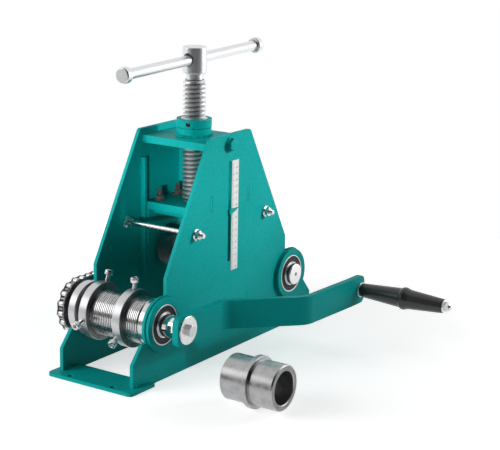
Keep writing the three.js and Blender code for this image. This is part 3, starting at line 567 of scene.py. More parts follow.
def add_object(name, data):
    """A new object in the scene."""
    thing = bpy.data.objects.new(name, data)
    bpy.context.scene.collection.objects.link(thing)
    return thing


def shape_of(thing):
    """The mesh that an object shows, with its modifiers or its letters worked out."""
    bpy.context.view_layer.update()
    mesh = bpy.data.meshes.new_from_object(thing.evaluated_get(bpy.context.evaluated_depsgraph_get()))
    bm = bmesh.new()
    bm.from_mesh(mesh)
    bpy.data.meshes.remove(mesh)
    return bm


def carved(bm, *cutters):
    """The mesh with the cutters taken away."""
    helpers = []
    for part in (bm, *cutters):
        mesh = bpy.data.meshes.new("carving")
        part.to_mesh(mesh)
        part.free()
        helpers.append(add_object("carving", mesh))
    blank = helpers[0]
    for cutter in helpers[1:]:
        cut = blank.modifiers.new("cut", "BOOLEAN")
        cut.object = cutter
        cut.operation = "DIFFERENCE"
        cut.solver = "EXACT"
    result = shape_of(blank)
    for helper in helpers:
        mesh = helper.data
        bpy.data.objects.remove(helper)
        bpy.data.meshes.remove(mesh)
    return result


def bead(points, thickness=1):
    """A weld bead along a line of points, with one ripple for each step."""
    paint = settings().paint
    path = [Vector(point) for point in points]
    stations = []
    for start, end in zip(path, path[1:]):
        parts = max(round((end - start).length / paint.bead_step), 1) * 3
        stations += [(start.lerp(end, i / parts), (end - start).normalized()) for i in range(parts)]
    stations.append((path[-1], (path[-1] - path[-2]).normalized()))
    bm = bmesh.new()
    sides = 10
    rings = []
    for i, (place, along) in enumerate(stations):
        swell = 0.82 + 0.18 * math.cos(2 * math.pi * i / 3) + 0.07 * math.sin(i * 1.7)
        if i in (0, len(stations) - 1):
            swell = 0.4
        level = along.orthogonal().normalized()
        up = along.cross(level)
        offsets = [polar(paint.bead * thickness * swell, 2 * math.pi * k / sides) for k in range(sides)]
        rings.append([bm.verts.new(place + level * aside + up * above) for aside, above in offsets])
    bridge(bm, rings)
    bm.faces.new(rings[0])
    bm.faces.new(rings[-1])
    return facing_out(bm)


def round_seam(radius, height, steps):
    """Points of a weld round a pipe; the radius may depend on the angle."""
    angles = [2 * math.pi * i / steps for i in range(steps + 1)]
    return [(*polar(at(radius, angle), angle), height) for angle in angles]


def paint_faces(bm, test):
    """Gives the faces whose centre passes the test the piece's second finish."""
    for face in bm.faces:
        if test(face.calc_center_median()):
            face.material_index = 1
    return bm


def add_piece(name, bm, body, look, node=None, place=(0, 0, 0), turn="Z"):
    """Puts a finished mesh in the scene, on its body and in place of its CAD node."""
    slot, *finishes = look
    mesh = bpy.data.meshes.new(name)
    bm.to_mesh(mesh)
    bm.free()
    if not mesh.polygons:
        raise RuntimeError(f"{name} has no faces")
    for finish in finishes:
        mesh.materials.append(bpy.data.materials[finish])
    mesh.shade_smooth()
    mesh.set_sharp_from_angle(angle=SHARP)
    piece = add_object(name, mesh)
    spin = TURNS[turn] if isinstance(turn, str) else turn
    piece.matrix_world = Matrix.Translation(place) @ spin
    weighted = piece.modifiers.new("even_shading", "WEIGHTED_NORMAL")
    weighted.keep_sharp = True
    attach(piece, body)
    if node:
        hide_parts(node)
    return piece


def add_plate(name, node, body, ease=None):
    """Puts a painted flat piece in the scene, with the CAD node's own shape."""
    add_piece(name, softened(node, ease), body, TEAL, node)


# Finishes
def begin_finish(name, base, roughness, metallic=0.0):
    material = bpy.data.materials.new(name)
    material.use_nodes = True
    tree = material.node_tree
    shader = tree.nodes["Principled BSDF"]
    shader.inputs["Base Color"].default_value = (*base, 1)
    shader.inputs["Roughness"].default_value = roughness
    shader.inputs["Metallic"].default_value = metallic
    return tree, shader


def shaded(base, share):
    """A colour made darker to a share of its light."""
    return tuple(channel * share for channel in base)


def own_place(tree):
    """The place on the piece itself, so that a finish moves with it."""
    return tree.nodes.new("ShaderNodeTexCoord").outputs["Object"]


def vector_math(tree, operation, value, other=None):
    node = tree.nodes.new("ShaderNodeVectorMath")
    node.operation = operation
    tree.links.new(value, node.inputs[0])
    if other:
        node.inputs[1].default_value = other
    return node.outputs


def rise_of(tree, value):
    """The Z part of a place or a direction."""
    parts = tree.nodes.new("ShaderNodeSeparateXYZ")
    tree.links.new(value, parts.inputs["Vector"])
    return parts.outputs["Z"]


def lathe_place(tree):
    """Radius and height of a place on a turned piece: even round its axis, as turning leaves it."""
    place = own_place(tree)
    level = vector_math(tree, "MULTIPLY", place, (1, 1, 0))["Vector"]
    pair = tree.nodes.new("ShaderNodeCombineXYZ")
    tree.links.new(vector_math(tree, "LENGTH", level)["Value"], pair.inputs["X"])
    tree.links.new(rise_of(tree, place), pair.inputs["Y"])
    return pair.outputs["Vector"]


def noise(tree, place, size, detail=2.0):
    """Soft noise whose spots are about the given size."""
    node = tree.nodes.new("ShaderNodeTexNoise")
    node.inputs["Scale"].default_value = 1 / size
    node.inputs["Detail"].default_value = detail
    tree.links.new(place, node.inputs["Vector"])
    return node.outputs["Fac"]


def spread_over(tree, value, start, end, first, last, curve="SMOOTHSTEP"):
    """A change from first to last while the value goes from start to end."""
    span = tree.nodes.new("ShaderNodeMapRange")
    span.interpolation_type = curve
    for name, limit in (("From Min", start), ("From Max", end), ("To Min", first), ("To Max", last)):
        span.inputs[name].default_value = limit
    tree.links.new(value, span.inputs["Value"])
    return span.outputs["Result"]


def vary_roughness(tree, shader, value, low, high):
    roughness = spread_over(tree, value, *NOISE_RANGE, low, high, "LINEAR")
    tree.links.new(roughness, shader.inputs["Roughness"])


def vary_colour(tree, shader, value, base, spread):
    """Lets the colour wander a little round its base."""
    ramp = tree.nodes.new("ShaderNodeValToRGB")
    for element, place, factor in zip(ramp.color_ramp.elements, NOISE_RANGE, (1 - spread, 1 + spread)):
        element.position = place
        element.color = (*[min(channel * factor, 1) for channel in base], 1)
    tree.links.new(value, ramp.inputs["Fac"])
    tree.links.new(ramp.outputs["Color"], shader.inputs["Base Color"])


def raise_surface(tree, shader, heights):
    """Bumps from (value, height in metres, strength) in a row, each on top of the one before."""
    normal = None
    for value, height, strength in heights:
        bump = tree.nodes.new("ShaderNodeBump")
        bump.inputs["Strength"].default_value = strength
        bump.inputs["Distance"].default_value = height
        tree.links.new(value, bump.inputs["Height"])
        if normal:
            tree.links.new(normal, bump.inputs["Normal"])
        normal = bump.outputs["Normal"]
    tree.links.new(normal, shader.inputs["Normal"])


def enamel_finish(name, paint):
    """Paint with a fine grain and soft waves."""
    tree, shader = begin_finish(name, paint.enamel, 0.5)
    shader.inputs["Specular IOR Level"].default_value = 0.08
    place = own_place(tree)
    grain = noise(tree, place, paint.grain, 3)
    waves = noise(tree, place, paint.wave)
    vary_colour(tree, shader, noise(tree, place, paint.grain * 2.4, 4), paint.enamel, 0.1)
    vary_roughness(tree, shader, waves, 0.42, 0.56)
    raise_surface(tree, shader, [(waves, 0.0015, 0.12), (grain, paint.grain_depth, 0.6)])


def turned_finish(name, base, roughness, spread=0.08, depth=0.00001):
    """Steel from the lathe: fine rings that run round the piece."""
    metal = settings().metal
    tree, shader = begin_finish(name, base, roughness, 1.0)
    rings = noise(tree, lathe_place(tree), metal.line, 3)
    stains = noise(tree, own_place(tree), metal.stain, 3)
    vary_colour(tree, shader, stains, base, spread)
    vary_roughness(tree, shader, rings, roughness - 0.07, roughness + 0.09)
    raise_surface(tree, shader, [(stains, 0.0002, 0.1), (rings, depth, 0.5)])


def plated_finish(name, base, roughness, spread=0.08, spot=0.004, metallic=1.0):
    """Plated, blacked or cast steel: a fine even skin with soft clouds in it."""
    tree, shader = begin_finish(name, base, roughness, metallic)
    place = own_place(tree)
    clouds = noise(tree, place, spot, 3)
    vary_colour(tree, shader, clouds, base, spread)
    vary_roughness(tree, shader, clouds, roughness - 0.06, roughness + 0.08)
    raise_surface(tree, shader, [(noise(tree, place, settings().metal.skin), 0.000012, 0.35)])


def moulded_finish(name, base, roughness, spread=0.12):
    """Plastic or rubber from a mould, or a printed skin."""
    tree, shader = begin_finish(name, base, roughness)
    shader.inputs["Specular IOR Level"].default_value = 0.35
    place = own_place(tree)
    clouds = noise(tree, place, 0.01, 3)
    vary_colour(tree, shader, clouds, base, spread)
    vary_roughness(tree, shader, clouds, roughness - 0.04, roughness + 0.05)
    raise_surface(tree, shader, [(noise(tree, place, 0.0009), 0.00004, 0.3)])


class RINGROLLER_OT_finishes(Operator):
    """Make the paint, steel, plastic and print that the pieces wear"""

    bl_idname = "ring_roller.finishes"
    bl_label = "Finishes"

    def execute(self, context):
        metal = settings().metal
        scale = settings().scale
        coarse = 0.00002
        enamel_finish("teal_enamel", settings().paint)
        turned_finish("bright_steel", metal.bright, roughness=0.17)
        turned_finish("sleeve_steel", shaded(metal.bright, 0.75), roughness=0.22)
        turned_finish("turned_steel", metal.turned, roughness=0.27, spread=0.16, depth=coarse)
        # A darker copy of turned steel for end faces and bores: painted shade
        turned_finish("shaded_face_steel", shaded(metal.turned, 0.42), roughness=0.42, spread=0.2, depth=coarse)
        turned_finish("press_roller_steel", metal.roller, roughness=0.44, spread=0.18, depth=coarse)
        plated_finish("plated_steel", shaded(metal.bright, 0.85), roughness=0.24)
        plated_finish("dark_steel", metal.dark, roughness=0.36, spread=0.3)
        plated_finish("stud_steel", metal.stud, roughness=0.3, spread=0.25, metallic=0.7)
        plated_finish("ground_steel", shaded(metal.bright, 0.95), roughness=0.1, spread=0.06)
        plated_finish("worn_steel", shaded(metal.bright, 0.5), roughness=0.33, spread=0.14, spot=0.009)
        moulded_finish("black_plastic", (0.004, 0.004, 0.0045), roughness=0.2)
        moulded_finish("seal_rubber", (0.018, 0.018, 0.018), roughness=0.55)
        moulded_finish("scale_paper", scale.paper, roughness=0.5, spread=0.03)
        moulded_finish("scale_ink", scale.ink, roughness=0.5)
        return {"FINISHED"}


class RINGROLLER_OT_side_plates(Operator):
    """Build the two side plates and the feet, with their weld beads"""

    bl_idname = "ring_roller.side_plates"
    bl_label = "Side Plates and Feet"

    def execute(self, context):
        for side in SIDES:
            add_plate(f"{side}_side_plate", f"side_plate_{side}", "frame")
        for end in ENDS:
            add_plate(f"{end}_foot_plate", f"foot_plate_{end}", "frame")
        for end in ENDS:
            self.add_welds(end)
        return {"FINISHED"}

    def add_welds(self, end):
        """A weld on both faces of both side plates where they stand on a foot."""
        low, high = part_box(f"foot_plate_{end}")
        inset = settings().paint.weld_inset
        beads = []
        for side, sign in SIDES.items():
            plate_low, plate_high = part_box(f"side_plate_{side}")
            start = max(low.x, plate_low.x) + inset
            stop = min(high.x, plate_high.x) - inset
            for face in outward_span(f"side_plate_{side}"):
                beads.append(bead([(start, sign * face, high.z), (stop, sign * face, high.z)]))
        add_piece(f"{end}_foot_welds", joined(*beads), "frame", TEAL)


class RINGROLLER_OT_cross_pieces(Operator):
    """Build the top cross plate with its bolts, the guide rails and the rear guide plate"""

    bl_idname = "ring_roller.cross_pieces"
    bl_label = "Cross Pieces and Guides"

    def execute(self, context):
        add_plate("upper_cross_plate", "top_cross_plate", "frame")
        add_plate("rear_guide_wall", "rear_guide_plate", "frame")
        for side, sign in SIDES.items():
            inner_face, outer_face = outward_span(f"side_plate_{side}")
            add_plate(f"{side}_guide_rail", f"guide_rail_{side}", "frame")
            self.add_bolt(side, outer_face)
            self.add_welds(side, sign * (inner_face - OVERLAP))
        return {"FINISHED"}

    def add_bolt(self, side, plate_face):
        """A bolt through the side plate into the cross plate, with its washer."""
        sizes = settings().fastener
        node = f"cross_bolt_{side}"
        tip, top = outward_span(node)
        washer_top = plate_face + sizes.washer_height
        washer_bore = sizes.core - 0.0001
        washer = ring(sizes.washer, washer_bore, plate_face, washer_top, ease=0.0004, steps=FINE_STEPS)
        head = hexagon(sizes.bolt_width, washer_top - MARGIN, top)
        shank = small_thread(sizes.thread, sizes.shallow, tip, plate_face + OVERLAP, TINY_STEPS)
        bolt = joined(washer, head, shank)
        add_piece(f"{side}_cross_bolt", bolt, "frame", TEAL, node, on_axis(node), OUTWARD[side])

    def add_welds(self, side, y):
        """Three short welds down the front of a guide rail."""
        low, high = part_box(f"guide_rail_{side}")
        x = low.x - WELD_OFFSET
        size = settings().paint.rail_weld
        first, second, last_from_top = 0.012, 0.078, 0.034
        starts = (low.z + first, low.z + second, high.z - last_from_top)
        beads = [bead([(x, y, z), (x, y, z + size)]) for z in starts]
        add_piece(f"{side}_rail_welds", joined(*beads), "frame", TEAL)


class RINGROLLER_OT_tie_rods(Operator):
    """Build the two threaded tie rods with a flange nut on each face of the side plates"""

    bl_idname = "ring_roller.tie_rods"
    bl_label = "Tie Rods"

    def execute(self, context):
        sizes = settings().fastener
        inside, outside = outward_span("side_plate_far")
        for end in ENDS:
            node = f"tie_rod_{end}"
            tip = reach(node).y
            parts = [rod(sizes.thread, -inside, inside, ease=0.0002, steps=FINE_STEPS)]
            for angle in (math.pi, 0):
                turn = Matrix.Rotation(angle, 4, "X")
                parts.append(moved(small_thread(sizes.thread, sizes.depth, inside, tip), turn))
                parts.append(moved(self.nut(outside), turn))
                parts.append(moved(self.nut(-inside), turn))
            add_piece(f"{end}_tie_rod", joined(*parts), "frame", PLATED, node, on_axis(node), "Y")
        return {"FINISHED"}

    def nut(self, low):
        sizes = settings().fastener
        return flange_nut(sizes.nut_flange, sizes.nut_width, low, sizes.nut_height, sizes.core)


class RINGROLLER_OT_scale(Operator):
    """Build the scale strip with its marks and numbers"""

    bl_idname = "ring_roller.scale"
    bl_label = "Scale"

    def execute(self, context):
        scale = settings().scale
        low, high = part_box("scale_strip")
        strip = softened("scale_strip", ease=0.0001)
        add_piece("scale_band", strip, "frame", ("white_print", "scale_paper"), "scale_strip")
        margin = 0.004
        marks_per_number = 5
        step = scale.spacing / marks_per_number
        count = int((high.z - low.z - 2 * margin) / step)
        heights = [low.z + margin + i * step for i in range(count + 1)]
        marks = []
        for i, z in enumerate(heights):
            width = scale.mark if i % marks_per_number == 0 else scale.mark / 2
            marks.append(self.mark(low, z, width))
        figure_x = high.x - scale.figure_inset
        for value, z in enumerate(heights[::marks_per_number]):
            marks.append(self.figure(str(value), Vector((figure_x, low.y - PRINT_HEIGHT / 2, z))))
        add_piece("scale_figures", joined(*marks), "frame", ("white_print", "scale_ink"))
        return {"FINISHED"}

    def mark(self, low, z, width):
        left = low.x + settings().scale.mark_inset
        half = settings().scale.line / 2
        return box((left, low.y - PRINT_HEIGHT, z - half), (left + width, low.y, z + half))

    def figure(self, text, place):
        """The raised print of a number, upright on the near side."""
        letters = bpy.data.curves.new("figure", "FONT")
        letters.body = text
        letters.size = settings().scale.figure
        letters.align_x = "CENTER"
        letters.align_y = "CENTER"
        letters.extrude = PRINT_HEIGHT / 2
        figure = add_object("figure", letters)
        shape = shape_of(figure)
        bpy.data.objects.remove(figure)
        bpy.data.curves.remove(letters)
        bmesh.ops.remove_doubles(shape, verts=shape.verts, dist=TOUCH)
        return moved(shape, Matrix.Translation(place) @ TURNS["-Y"])


class RINGROLLER_OT_bearings(Operator):
    """Build the four bearing housings and their sealed ball bearings"""

    bl_idname = "ring_roller.bearings"
    bl_label = "Housings and Bearings"

    def execute(self, context):
        for end in ENDS:
            for side in SIDES:
                place = (on_axis(f"{end}_shaft"), OUTWARD[side])
                self.add_housing(end, side, place)
                self.add_bearing(end, side, place)
        return {"FINISHED"}

    def add_housing(self, end, side, place):
        """A painted housing with its weld; the one behind the front collars is bare and has none."""
        node = f"bearing_housing_{end}_{side}"
        start, stop = outward_span(node)
        radius = reach(node).z
        bare = (end, side) == ("front", "far")
        housing = ring(radius, settings().roller.bearing + PLAY, start, stop, ease=0.001)
        add_piece(f"{end}_{side}_housing", housing, "frame", TURNED if bare else TEAL, node, *place)
        if not bare:
            seam = round_seam(radius + WELD_OFFSET, outward_span(f"side_plate_{side}")[1], 72)
            add_piece(f"{end}_{side}_housing_weld", bead(seam, 0.8), "frame", TEAL, None, *place)

    def add_bearing(self, end, side, place):
        roller = settings().roller
        node = f"bearing_{end}_{side}"
        start, stop = outward_span(node)
        seal_low = start + roller.seal_depth
        seal_top = stop - roller.seal_depth
        outer_lip = roller.outer_race - 0.0012
        inner_lip = roller.inner_race + 0.001
        slope = 0.0006
        dip = 0.0005
        outer = ring(roller.bearing, roller.outer_race, start, stop, ease=0.0008)
        inner = ring(roller.inner_race, roller.bore, start, stop, ease=0.0006)
        seal = turned(
            [
                (roller.inner_race, seal_low),
                (roller.outer_race, seal_low),
                (roller.outer_race, seal_top),
                (outer_lip, seal_top),
                (outer_lip - slope, seal_top - dip),
                (inner_lip + slope, seal_top - dip),
                (inner_lip, seal_top),
                (roller.inner_race, seal_top),
            ],
            ease=0.0002,
        )
        add_piece(f"{end}_{side}_races", joined(outer, inner), "frame", BRIGHT, node, *place)
        add_piece(f"{end}_{side}_seal", seal, "frame", ("dark_steel", "seal_rubber"), None, *place)


class RINGROLLER_OT_shafts(Operator):
    """Build the roller shafts"""

    bl_idname = "ring_roller.shafts"
    bl_label = "Shafts"

    def execute(self, context):
        for end in ENDS:
            node = f"{end}_shaft"
            low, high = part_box(node)
            near_cutter = self.keyway(low.y) if end == "front" else self.centre_hole(low.y)
            shaft = rod(settings().roller.shaft, low.y, high.y, ease=0.0012)
            shaft = carved(shaft, self.centre_hole(high.y), near_cutter)
            look = ("bright_steel", "ground_steel")
            add_piece(f"{end}_roller_shaft", shaft, f"{end}_drive", look, node, on_axis(node), "Y")
        return {"FINISHED"}

    def centre_hole(self, shaft_end):
        """The cutter of a small hole in a shaft's end."""
        roller = settings().roller
        depth = roller.centre_depth
        return rod(roller.centre_hole, shaft_end - depth, shaft_end + depth, ease=0)

    def keyway(self, shaft_end):
        """The cutter of the slot for the crank's key."""
        roller = settings().roller
        half = roller.key_width / 2
        slot = box(
            (roller.shaft - roller.key_depth, -half, shaft_end - OVERLAP),
            (roller.shaft + roller.key_depth, half, shaft_end + roller.key_length),
        )
        return moved(slot, Matrix.Rotation(-roller.key_angle, 4, "Z"))


class RINGROLLER_OT_sleeves(Operator):
    """Build the threaded roller sleeves"""

    bl_idname = "ring_roller.sleeves"
    bl_label = "Roller Sleeves"

    def execute(self, context):
        roller = settings().roller
        for end in ENDS:
            node = f"{end}_roller_sleeve"
            half = reach(node)
            plain = half.z - roller.step
            root = half.z - roller.depth - 2 * MARGIN
            threaded = half.y - roller.end
            shoulder = OVERLAP - threaded
            core = turned(
                mirrored([(roller.bore, -half.y), (plain, -half.y), (plain, shoulder), (root, shoulder)])
            )
            ridges = thread(
                half.z, roller.depth, roller.pitch, -threaded, threaded, GROOVE_FORM, ROUND_STEPS
            )
            # The sleeve's thread valleys get the dark finish: painted shade
            shaded_valley = half.z - roller.depth * SHADED_VALLEY_SHARE
            paint_faces(ridges, lambda place: place.xy.length < shaded_valley)
            look = ("bright_steel", "sleeve_steel", "dark_steel")
            sleeve = joined(core, ridges)
            add_piece(f"{end}_threaded_sleeve", sleeve, f"{end}_drive", look, node, on_axis(node), "Y")
        return {"FINISHED"}


def socket_screw(collar, low):
    """A knurled socket head screw that points up the local Z axis."""
    bottom = collar.top - collar.head_height
    floor = collar.top - collar.socket_depth
    socket = across_flats(collar.socket)

    def knurled(angle):
        return collar.head - collar.knurl * (1 + math.cos(angle * collar.knurls)) / 2

    foot_bevel = (0.0005, 0.0007)
    crown = (0.0007, 0.0014)
    rim = (0.0011, 0.0003)
    mouth = (0.0003, 0.0004)
    drill_tip = 0.0008
    rows = [
        (0, bottom),
        (collar.head - foot_bevel[0], bottom),
        (knurled, bottom + foot_bevel[1]),
        (knurled, collar.top - crown[1]),
        (collar.head - crown[0], collar.top - rim[1]),
        (collar.head - rim[0], collar.top),
        (lambda angle: socket(angle) + mouth[0], collar.top),
        (socket, collar.top - mouth[1]),
        (socket, floor),
        (0, floor - drill_tip),
    ]
    head = lofted(rows, collar.knurls * 4)
    depth = settings().fastener.shallow
    return joined(head, small_thread(collar.shank, depth, low, bottom + OVERLAP / 2, TINY_STEPS))


class RINGROLLER_OT_collars(Operator):
    """Build the four guide collars, each with its clamping screws"""

    bl_idname = "ring_roller.collars"
    bl_label = "Guide Collars"

    def execute(self, context):
        collar = settings().collar
        half = collar.width / 2
        for end in ENDS:
            for side, angle in (("near", collar.near_angle), ("far", collar.far_angle)):
                node = f"{end}_collar_{side}"
                body = f"collar_{end}_{side}"
                place = on_axis(f"{end}_shaft") + Vector((0, middle(node).y, 0))
                band = ring(collar.radius, collar.bore, -half, half, ease=0.0012)
                # The collar's end faces get the darker copy of turned steel: painted shade
                paint_faces(band, lambda spot: abs(spot.z) > half - MARGIN)
                look = (*TURNED, "shaded_face_steel")
                add_piece(f"{end}_{side}_guide_collar", band, body, look, node, place, "Y")
                screws = []
                for i in range(collar.screws):
                    turn = math.pi / 2 - angle - i * 2 * math.pi / collar.screws
                    screw = socket_screw(collar, collar.bore + OVERLAP)
                    screws.append(moved(screw, Matrix.Rotation(turn, 4, "Y")))
                add_piece(f"{end}_{side}_collar_screws", joined(*screws), body, PLATED, None, place)
        return {"FINISHED"}


def pitch_length(chain):
    """Pitch of the chain, from the distance of the shafts."""
    return (middle("rear_shaft").x - middle("front_shaft").x) / chain.run


def pitch_radius(chain):
    """Distance of a chain joint from the axis of the sprocket that it lies on."""
    return pitch_length(chain) / 2 / math.sin(math.pi / chain.teeth)


class RINGROLLER_OT_sprockets(Operator):
    """Build the two sprockets"""

    bl_idname = "ring_roller.sprockets"
    bl_label = "Sprockets"

    def execute(self, context):
        chain = settings().chain
        outline = self.outline(chain)
        for end in ENDS:
            node = f"{end}_sprocket"
            low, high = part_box(node)
            teeth_low = high.y - chain.tooth_width
            teeth = prism(outline, teeth_low, high.y, ease=0.0005)
            teeth = moved(teeth, Matrix.Scale(-1, 4, (0, 1, 0)))
            bmesh.ops.reverse_faces(teeth, faces=teeth.faces)
            hub = ring(chain.hub, settings().roller.bore, low.y, teeth_low + OVERLAP, ease=0.001)
            wheel = joined(teeth, hub)
            add_piece(f"{end}_chain_wheel", wheel, f"{end}_drive", DARK, node, on_axis(node), "Y")
        return {"FINISHED"}

    def outline(self, chain):
        """Round seats with teeth between them that narrow to their tips."""
        radius = pitch_radius(chain)
        step = 2 * math.pi / chain.teeth
        seat_angles = range(75, -76, -15)
        tip_shares = (-0.1, -0.04, 0.04, 0.1)
        tip_slope = 0.006
        points = []
        for tooth in range(chain.teeth):
            centre = (tooth + chain.phase) * step + math.pi / 2
            x, y = polar(radius, centre)
            for angle in seat_angles:
                aside, above = polar(chain.seat, centre + math.pi + math.radians(angle))
                points.append((x + aside, y + above))
            for share in tip_shares:
                tip = radius + chain.tooth_rise - abs(share) * tip_slope
                points.append(polar(tip, centre + step / 2 + share * step))
        return points


def chain_joint(chain, count):
    """Place of a chain joint in the XZ plane from the middle of the chain, counted as the chain runs."""
    pitch = pitch_length(chain)
    radius = pitch_radius(chain)
    half = chain.run * pitch / 2
    turn = chain.teeth / 2
    step = 2 * math.pi / chain.teeth
    count %= 2 * chain.run + chain.teeth
    if count < chain.run:
        return Vector((half - count * pitch, radius))
    if count < chain.run + turn:
        angle = math.pi / 2 + (count - chain.run) * step
        return Vector((-half, 0)) + Vector(polar(radius, angle))
    if count < 2 * chain.run + turn:
        return Vector((-half + (count - chain.run - turn) * pitch, -radius))
    angle = -math.pi / 2 + (count - 2 * chain.run - turn) * step
    return Vector((half, 0)) + Vector(polar(radius, angle))


class RINGROLLER_OT_chain(Operator):
    """Build the roller chain link by link"""

    bl_idname = "ring_roller.chain"
    bl_label = "Drive Chain"

    def execute(self, context):
        chain = settings().chain
        piles = self.piles(chain, self.templates(chain))
        looks = {
            "inner": ("chain_inner_plates", DARK, None),
            "outer": ("chain_outer_plates", DARK, "drive_chain"),
            "rollers": ("chain_rollers", ("dark_steel", "plated_steel"), None),
            "pins": ("chain_pins", ("dark_steel", "turned_steel"), None),
        }
        for kind, (name, look, node) in looks.items():
            add_piece(name, piles[kind], "frame", look, node, middle("drive_chain"), "-Y")
        return {"FINISHED"}

    def link_outline(self, chain):
        """A link plate: two round ends with a waist between them."""
        outline = []
        for side, facing in ((1, 0), (-1, math.pi)):
            for angle in range(-100, 101, 20):
                along, above = polar(chain.plate / 2, math.radians(angle) + facing)
                outline.append((side * pitch_length(chain) / 2 + along, above))
            outline.append((0, side * chain.waist / 2))
        return outline

    def plates(self, chain, start):
        """The two plates of a link, whose inner faces lie at the start on both sides."""
        outline = self.link_outline(chain)
        end = start + chain.thickness
        return joined(prism(outline, start, end, ease=0.0003), prism(outline, -end, -start, ease=0.0003))

    def templates(self, chain):
        """One mesh for each kind of part in the chain."""
        inner_face = chain.inner / 2
        roller_end = inner_face - chain.gap
        outer_face = inner_face + chain.thickness + chain.gap
        pin_end = outer_face + chain.thickness
        shapes = {
            "inner": self.plates(chain, inner_face),
            "outer": self.plates(chain, outer_face),
            "rollers": rod(chain.roller, -roller_end, roller_end, ease=0.0004, steps=24),
            "pins": rod(chain.pin, -pin_end, pin_end, ease=0.0004, steps=16),
        }
        meshes = {}
        for kind, bm in shapes.items():
            meshes[kind] = bpy.data.meshes.new(kind)
            bm.to_mesh(meshes[kind])
            bm.free()
        return meshes

    def piles(self, chain, meshes):
        """All parts of a kind in one mesh, each at its place round the sprockets."""
        piles = {kind: bmesh.new() for kind in meshes}
        for i in range(2 * chain.run + chain.teeth):
            here = chain_joint(chain, i + chain.phase)
            ahead = chain_joint(chain, i + 1 + chain.phase)
            halfway = (here + ahead) / 2
            along = ahead - here
            lean = Matrix.Rotation(math.atan2(along.y, along.x), 4, "Z")
            link = Matrix.Translation((*halfway, 0)) @ lean
            joint = Matrix.Translation((*here, 0))
            kind = "inner" if i % 2 else "outer"
            for pile, place in ((kind, link), ("rollers", joint), ("pins", joint)):
                copy = meshes[pile].copy()
                copy.transform(place)
                piles[pile].from_mesh(copy)
                bpy.data.meshes.remove(copy)
        for mesh in meshes.values():
            bpy.data.meshes.remove(mesh)
        return piles


def bent_line(points, radius):
    """Places and directions along a line of (x, y) points whose corners are rounded by arcs."""
    path = [Vector(point) for point in points]
    stations = [(path[0], (path[1] - path[0]).normalized())]
    for before, corner, after in zip(path, path[1:], path[2:]):
        back = (before - corner).normalized()
        ahead = (after - corner).normalized()
        turn = math.pi - back.angle(ahead)
        cut = radius * math.tan(turn / 2)
        centre = corner + (back + ahead).normalized() * math.hypot(radius, cut)
        start = corner + back * cut - centre
        spin = -math.copysign(turn, back.cross(ahead))
        steps = max(round(math.degrees(turn) / 3), 2)
        for step in range(steps + 1):
            arm = start.copy()
            arm.rotate(Matrix.Rotation(spin * step / steps, 2))
            heading = -back
            heading.rotate(Matrix.Rotation(spin * step / steps, 2))
            stations.append((centre + arm, heading))
    stations.append((path[-1], (path[-1] - path[-2]).normalized()))
    return stations


class RINGROLLER_OT_crank(Operator):
    """Build the bent crank arm with its key, washer and bolt"""

    bl_idname = "ring_roller.crank"
    bl_label = "Crank"

    def execute(self, context):
        crank = settings().crank
        axis = on_axis("front_shaft")
        tilt_down = Matrix.Rotation(math.atan2(crank.drop, middle("crank_grip").x - axis.x), 4, "Y")
        arm = self.arm_shape(crank, axis)
        add_piece("bent_crank_arm", arm, "front_drive", TEAL, "crank_arm", axis, tilt_down)
        add_piece("arm_key", softened("crank_key", ease=0.0004), "front_drive", PLATED, "crank_key")
        inner_face, outer_face = outward_span("crank_washer")
        bore = crank.shank + PLAY
        rim = reach("crank_washer").z
        bevel_width, bevel_depth = 0.0014, 0.0006
        washer = turned(
            [
                (bore, inner_face),
                (rim, inner_face),
                (rim, outer_face - bevel_depth),
                (rim - bevel_width, outer_face),
                (bore, outer_face),
            ],
            ease=0.0004,
        )
        add_piece("shaft_washer", washer, "front_drive", PLATED, "crank_washer", axis, "-Y")
        tip, top = outward_span("crank_bolt")
        head = hexagon(crank.bolt, outer_face, top)
        shank = rod(crank.shank, tip, outer_face + OVERLAP / 2, ease=0.0005, steps=FINE_STEPS)
        look = ("bright_steel", "turned_steel")
        add_piece("shaft_bolt", joined(head, shank), "front_drive", look, "crank_bolt", axis, "-Y")
        return {"FINISHED"}

    def arm_shape(self, crank, axis):
        """A flat bar along the arm's bent line; it gets lower at both ends to round the corners."""
        stations = self.arm_stations(crank, axis)
        half = crank.thickness / 2
        ease = settings().paint.edge
        corner_arc = [(ease, 0), (ease * 0.29, ease * 0.29), (0, ease)]
        bm = bmesh.new()
        sections = []
        for place, heading, share in stations:
            across = Vector((-heading.y, heading.x))
            rounding = crank.corner * (1 - math.sqrt(max(1 - (1 - share) ** 2, 0)))
            tall = crank.height / 2 - rounding
            section = []
            for side, rise in ((-1, -1), (1, -1), (1, 1), (-1, 1)):
                arc = corner_arc[::-1] if side * rise > 0 else corner_arc
                for aside, above in arc:
                    point = place + across * (side * (half - aside))
                    section.append(bm.verts.new((*point, rise * (tall - above))))
            sections.append(section)
        bridge(bm, sections)
        bm.faces.new(sections[0])
        bm.faces.new(sections[-1])
        return facing_out(bm)

    def arm_stations(self, crank, axis):
        """Places and directions along the arm, each with its share of the way out of the rounded end."""
        low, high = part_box("crank_arm")
        half = crank.thickness / 2
        end_x = high.x - axis.x
        inner = high.y - half
        outer = low.y + half
        line = [
            (-crank.front_reach, inner),
            (crank.first_bend, inner),
            (crank.second_bend, outer + crank.lean),
            (end_x - crank.eye, outer),
            (end_x, outer),
        ]
        start, *bends, end = bent_line(line, crank.bend + half)
        shares = (0, 0.1, 0.25, 0.45, 0.7, 1)
        stations = [(start[0] + start[1] * crank.corner * share, start[1], share) for share in shares]
        stations += [(place, heading, 1) for place, heading in bends]
        stations += [(end[0] - end[1] * crank.corner * share, end[1], share) for share in reversed(shares)]
        return stations


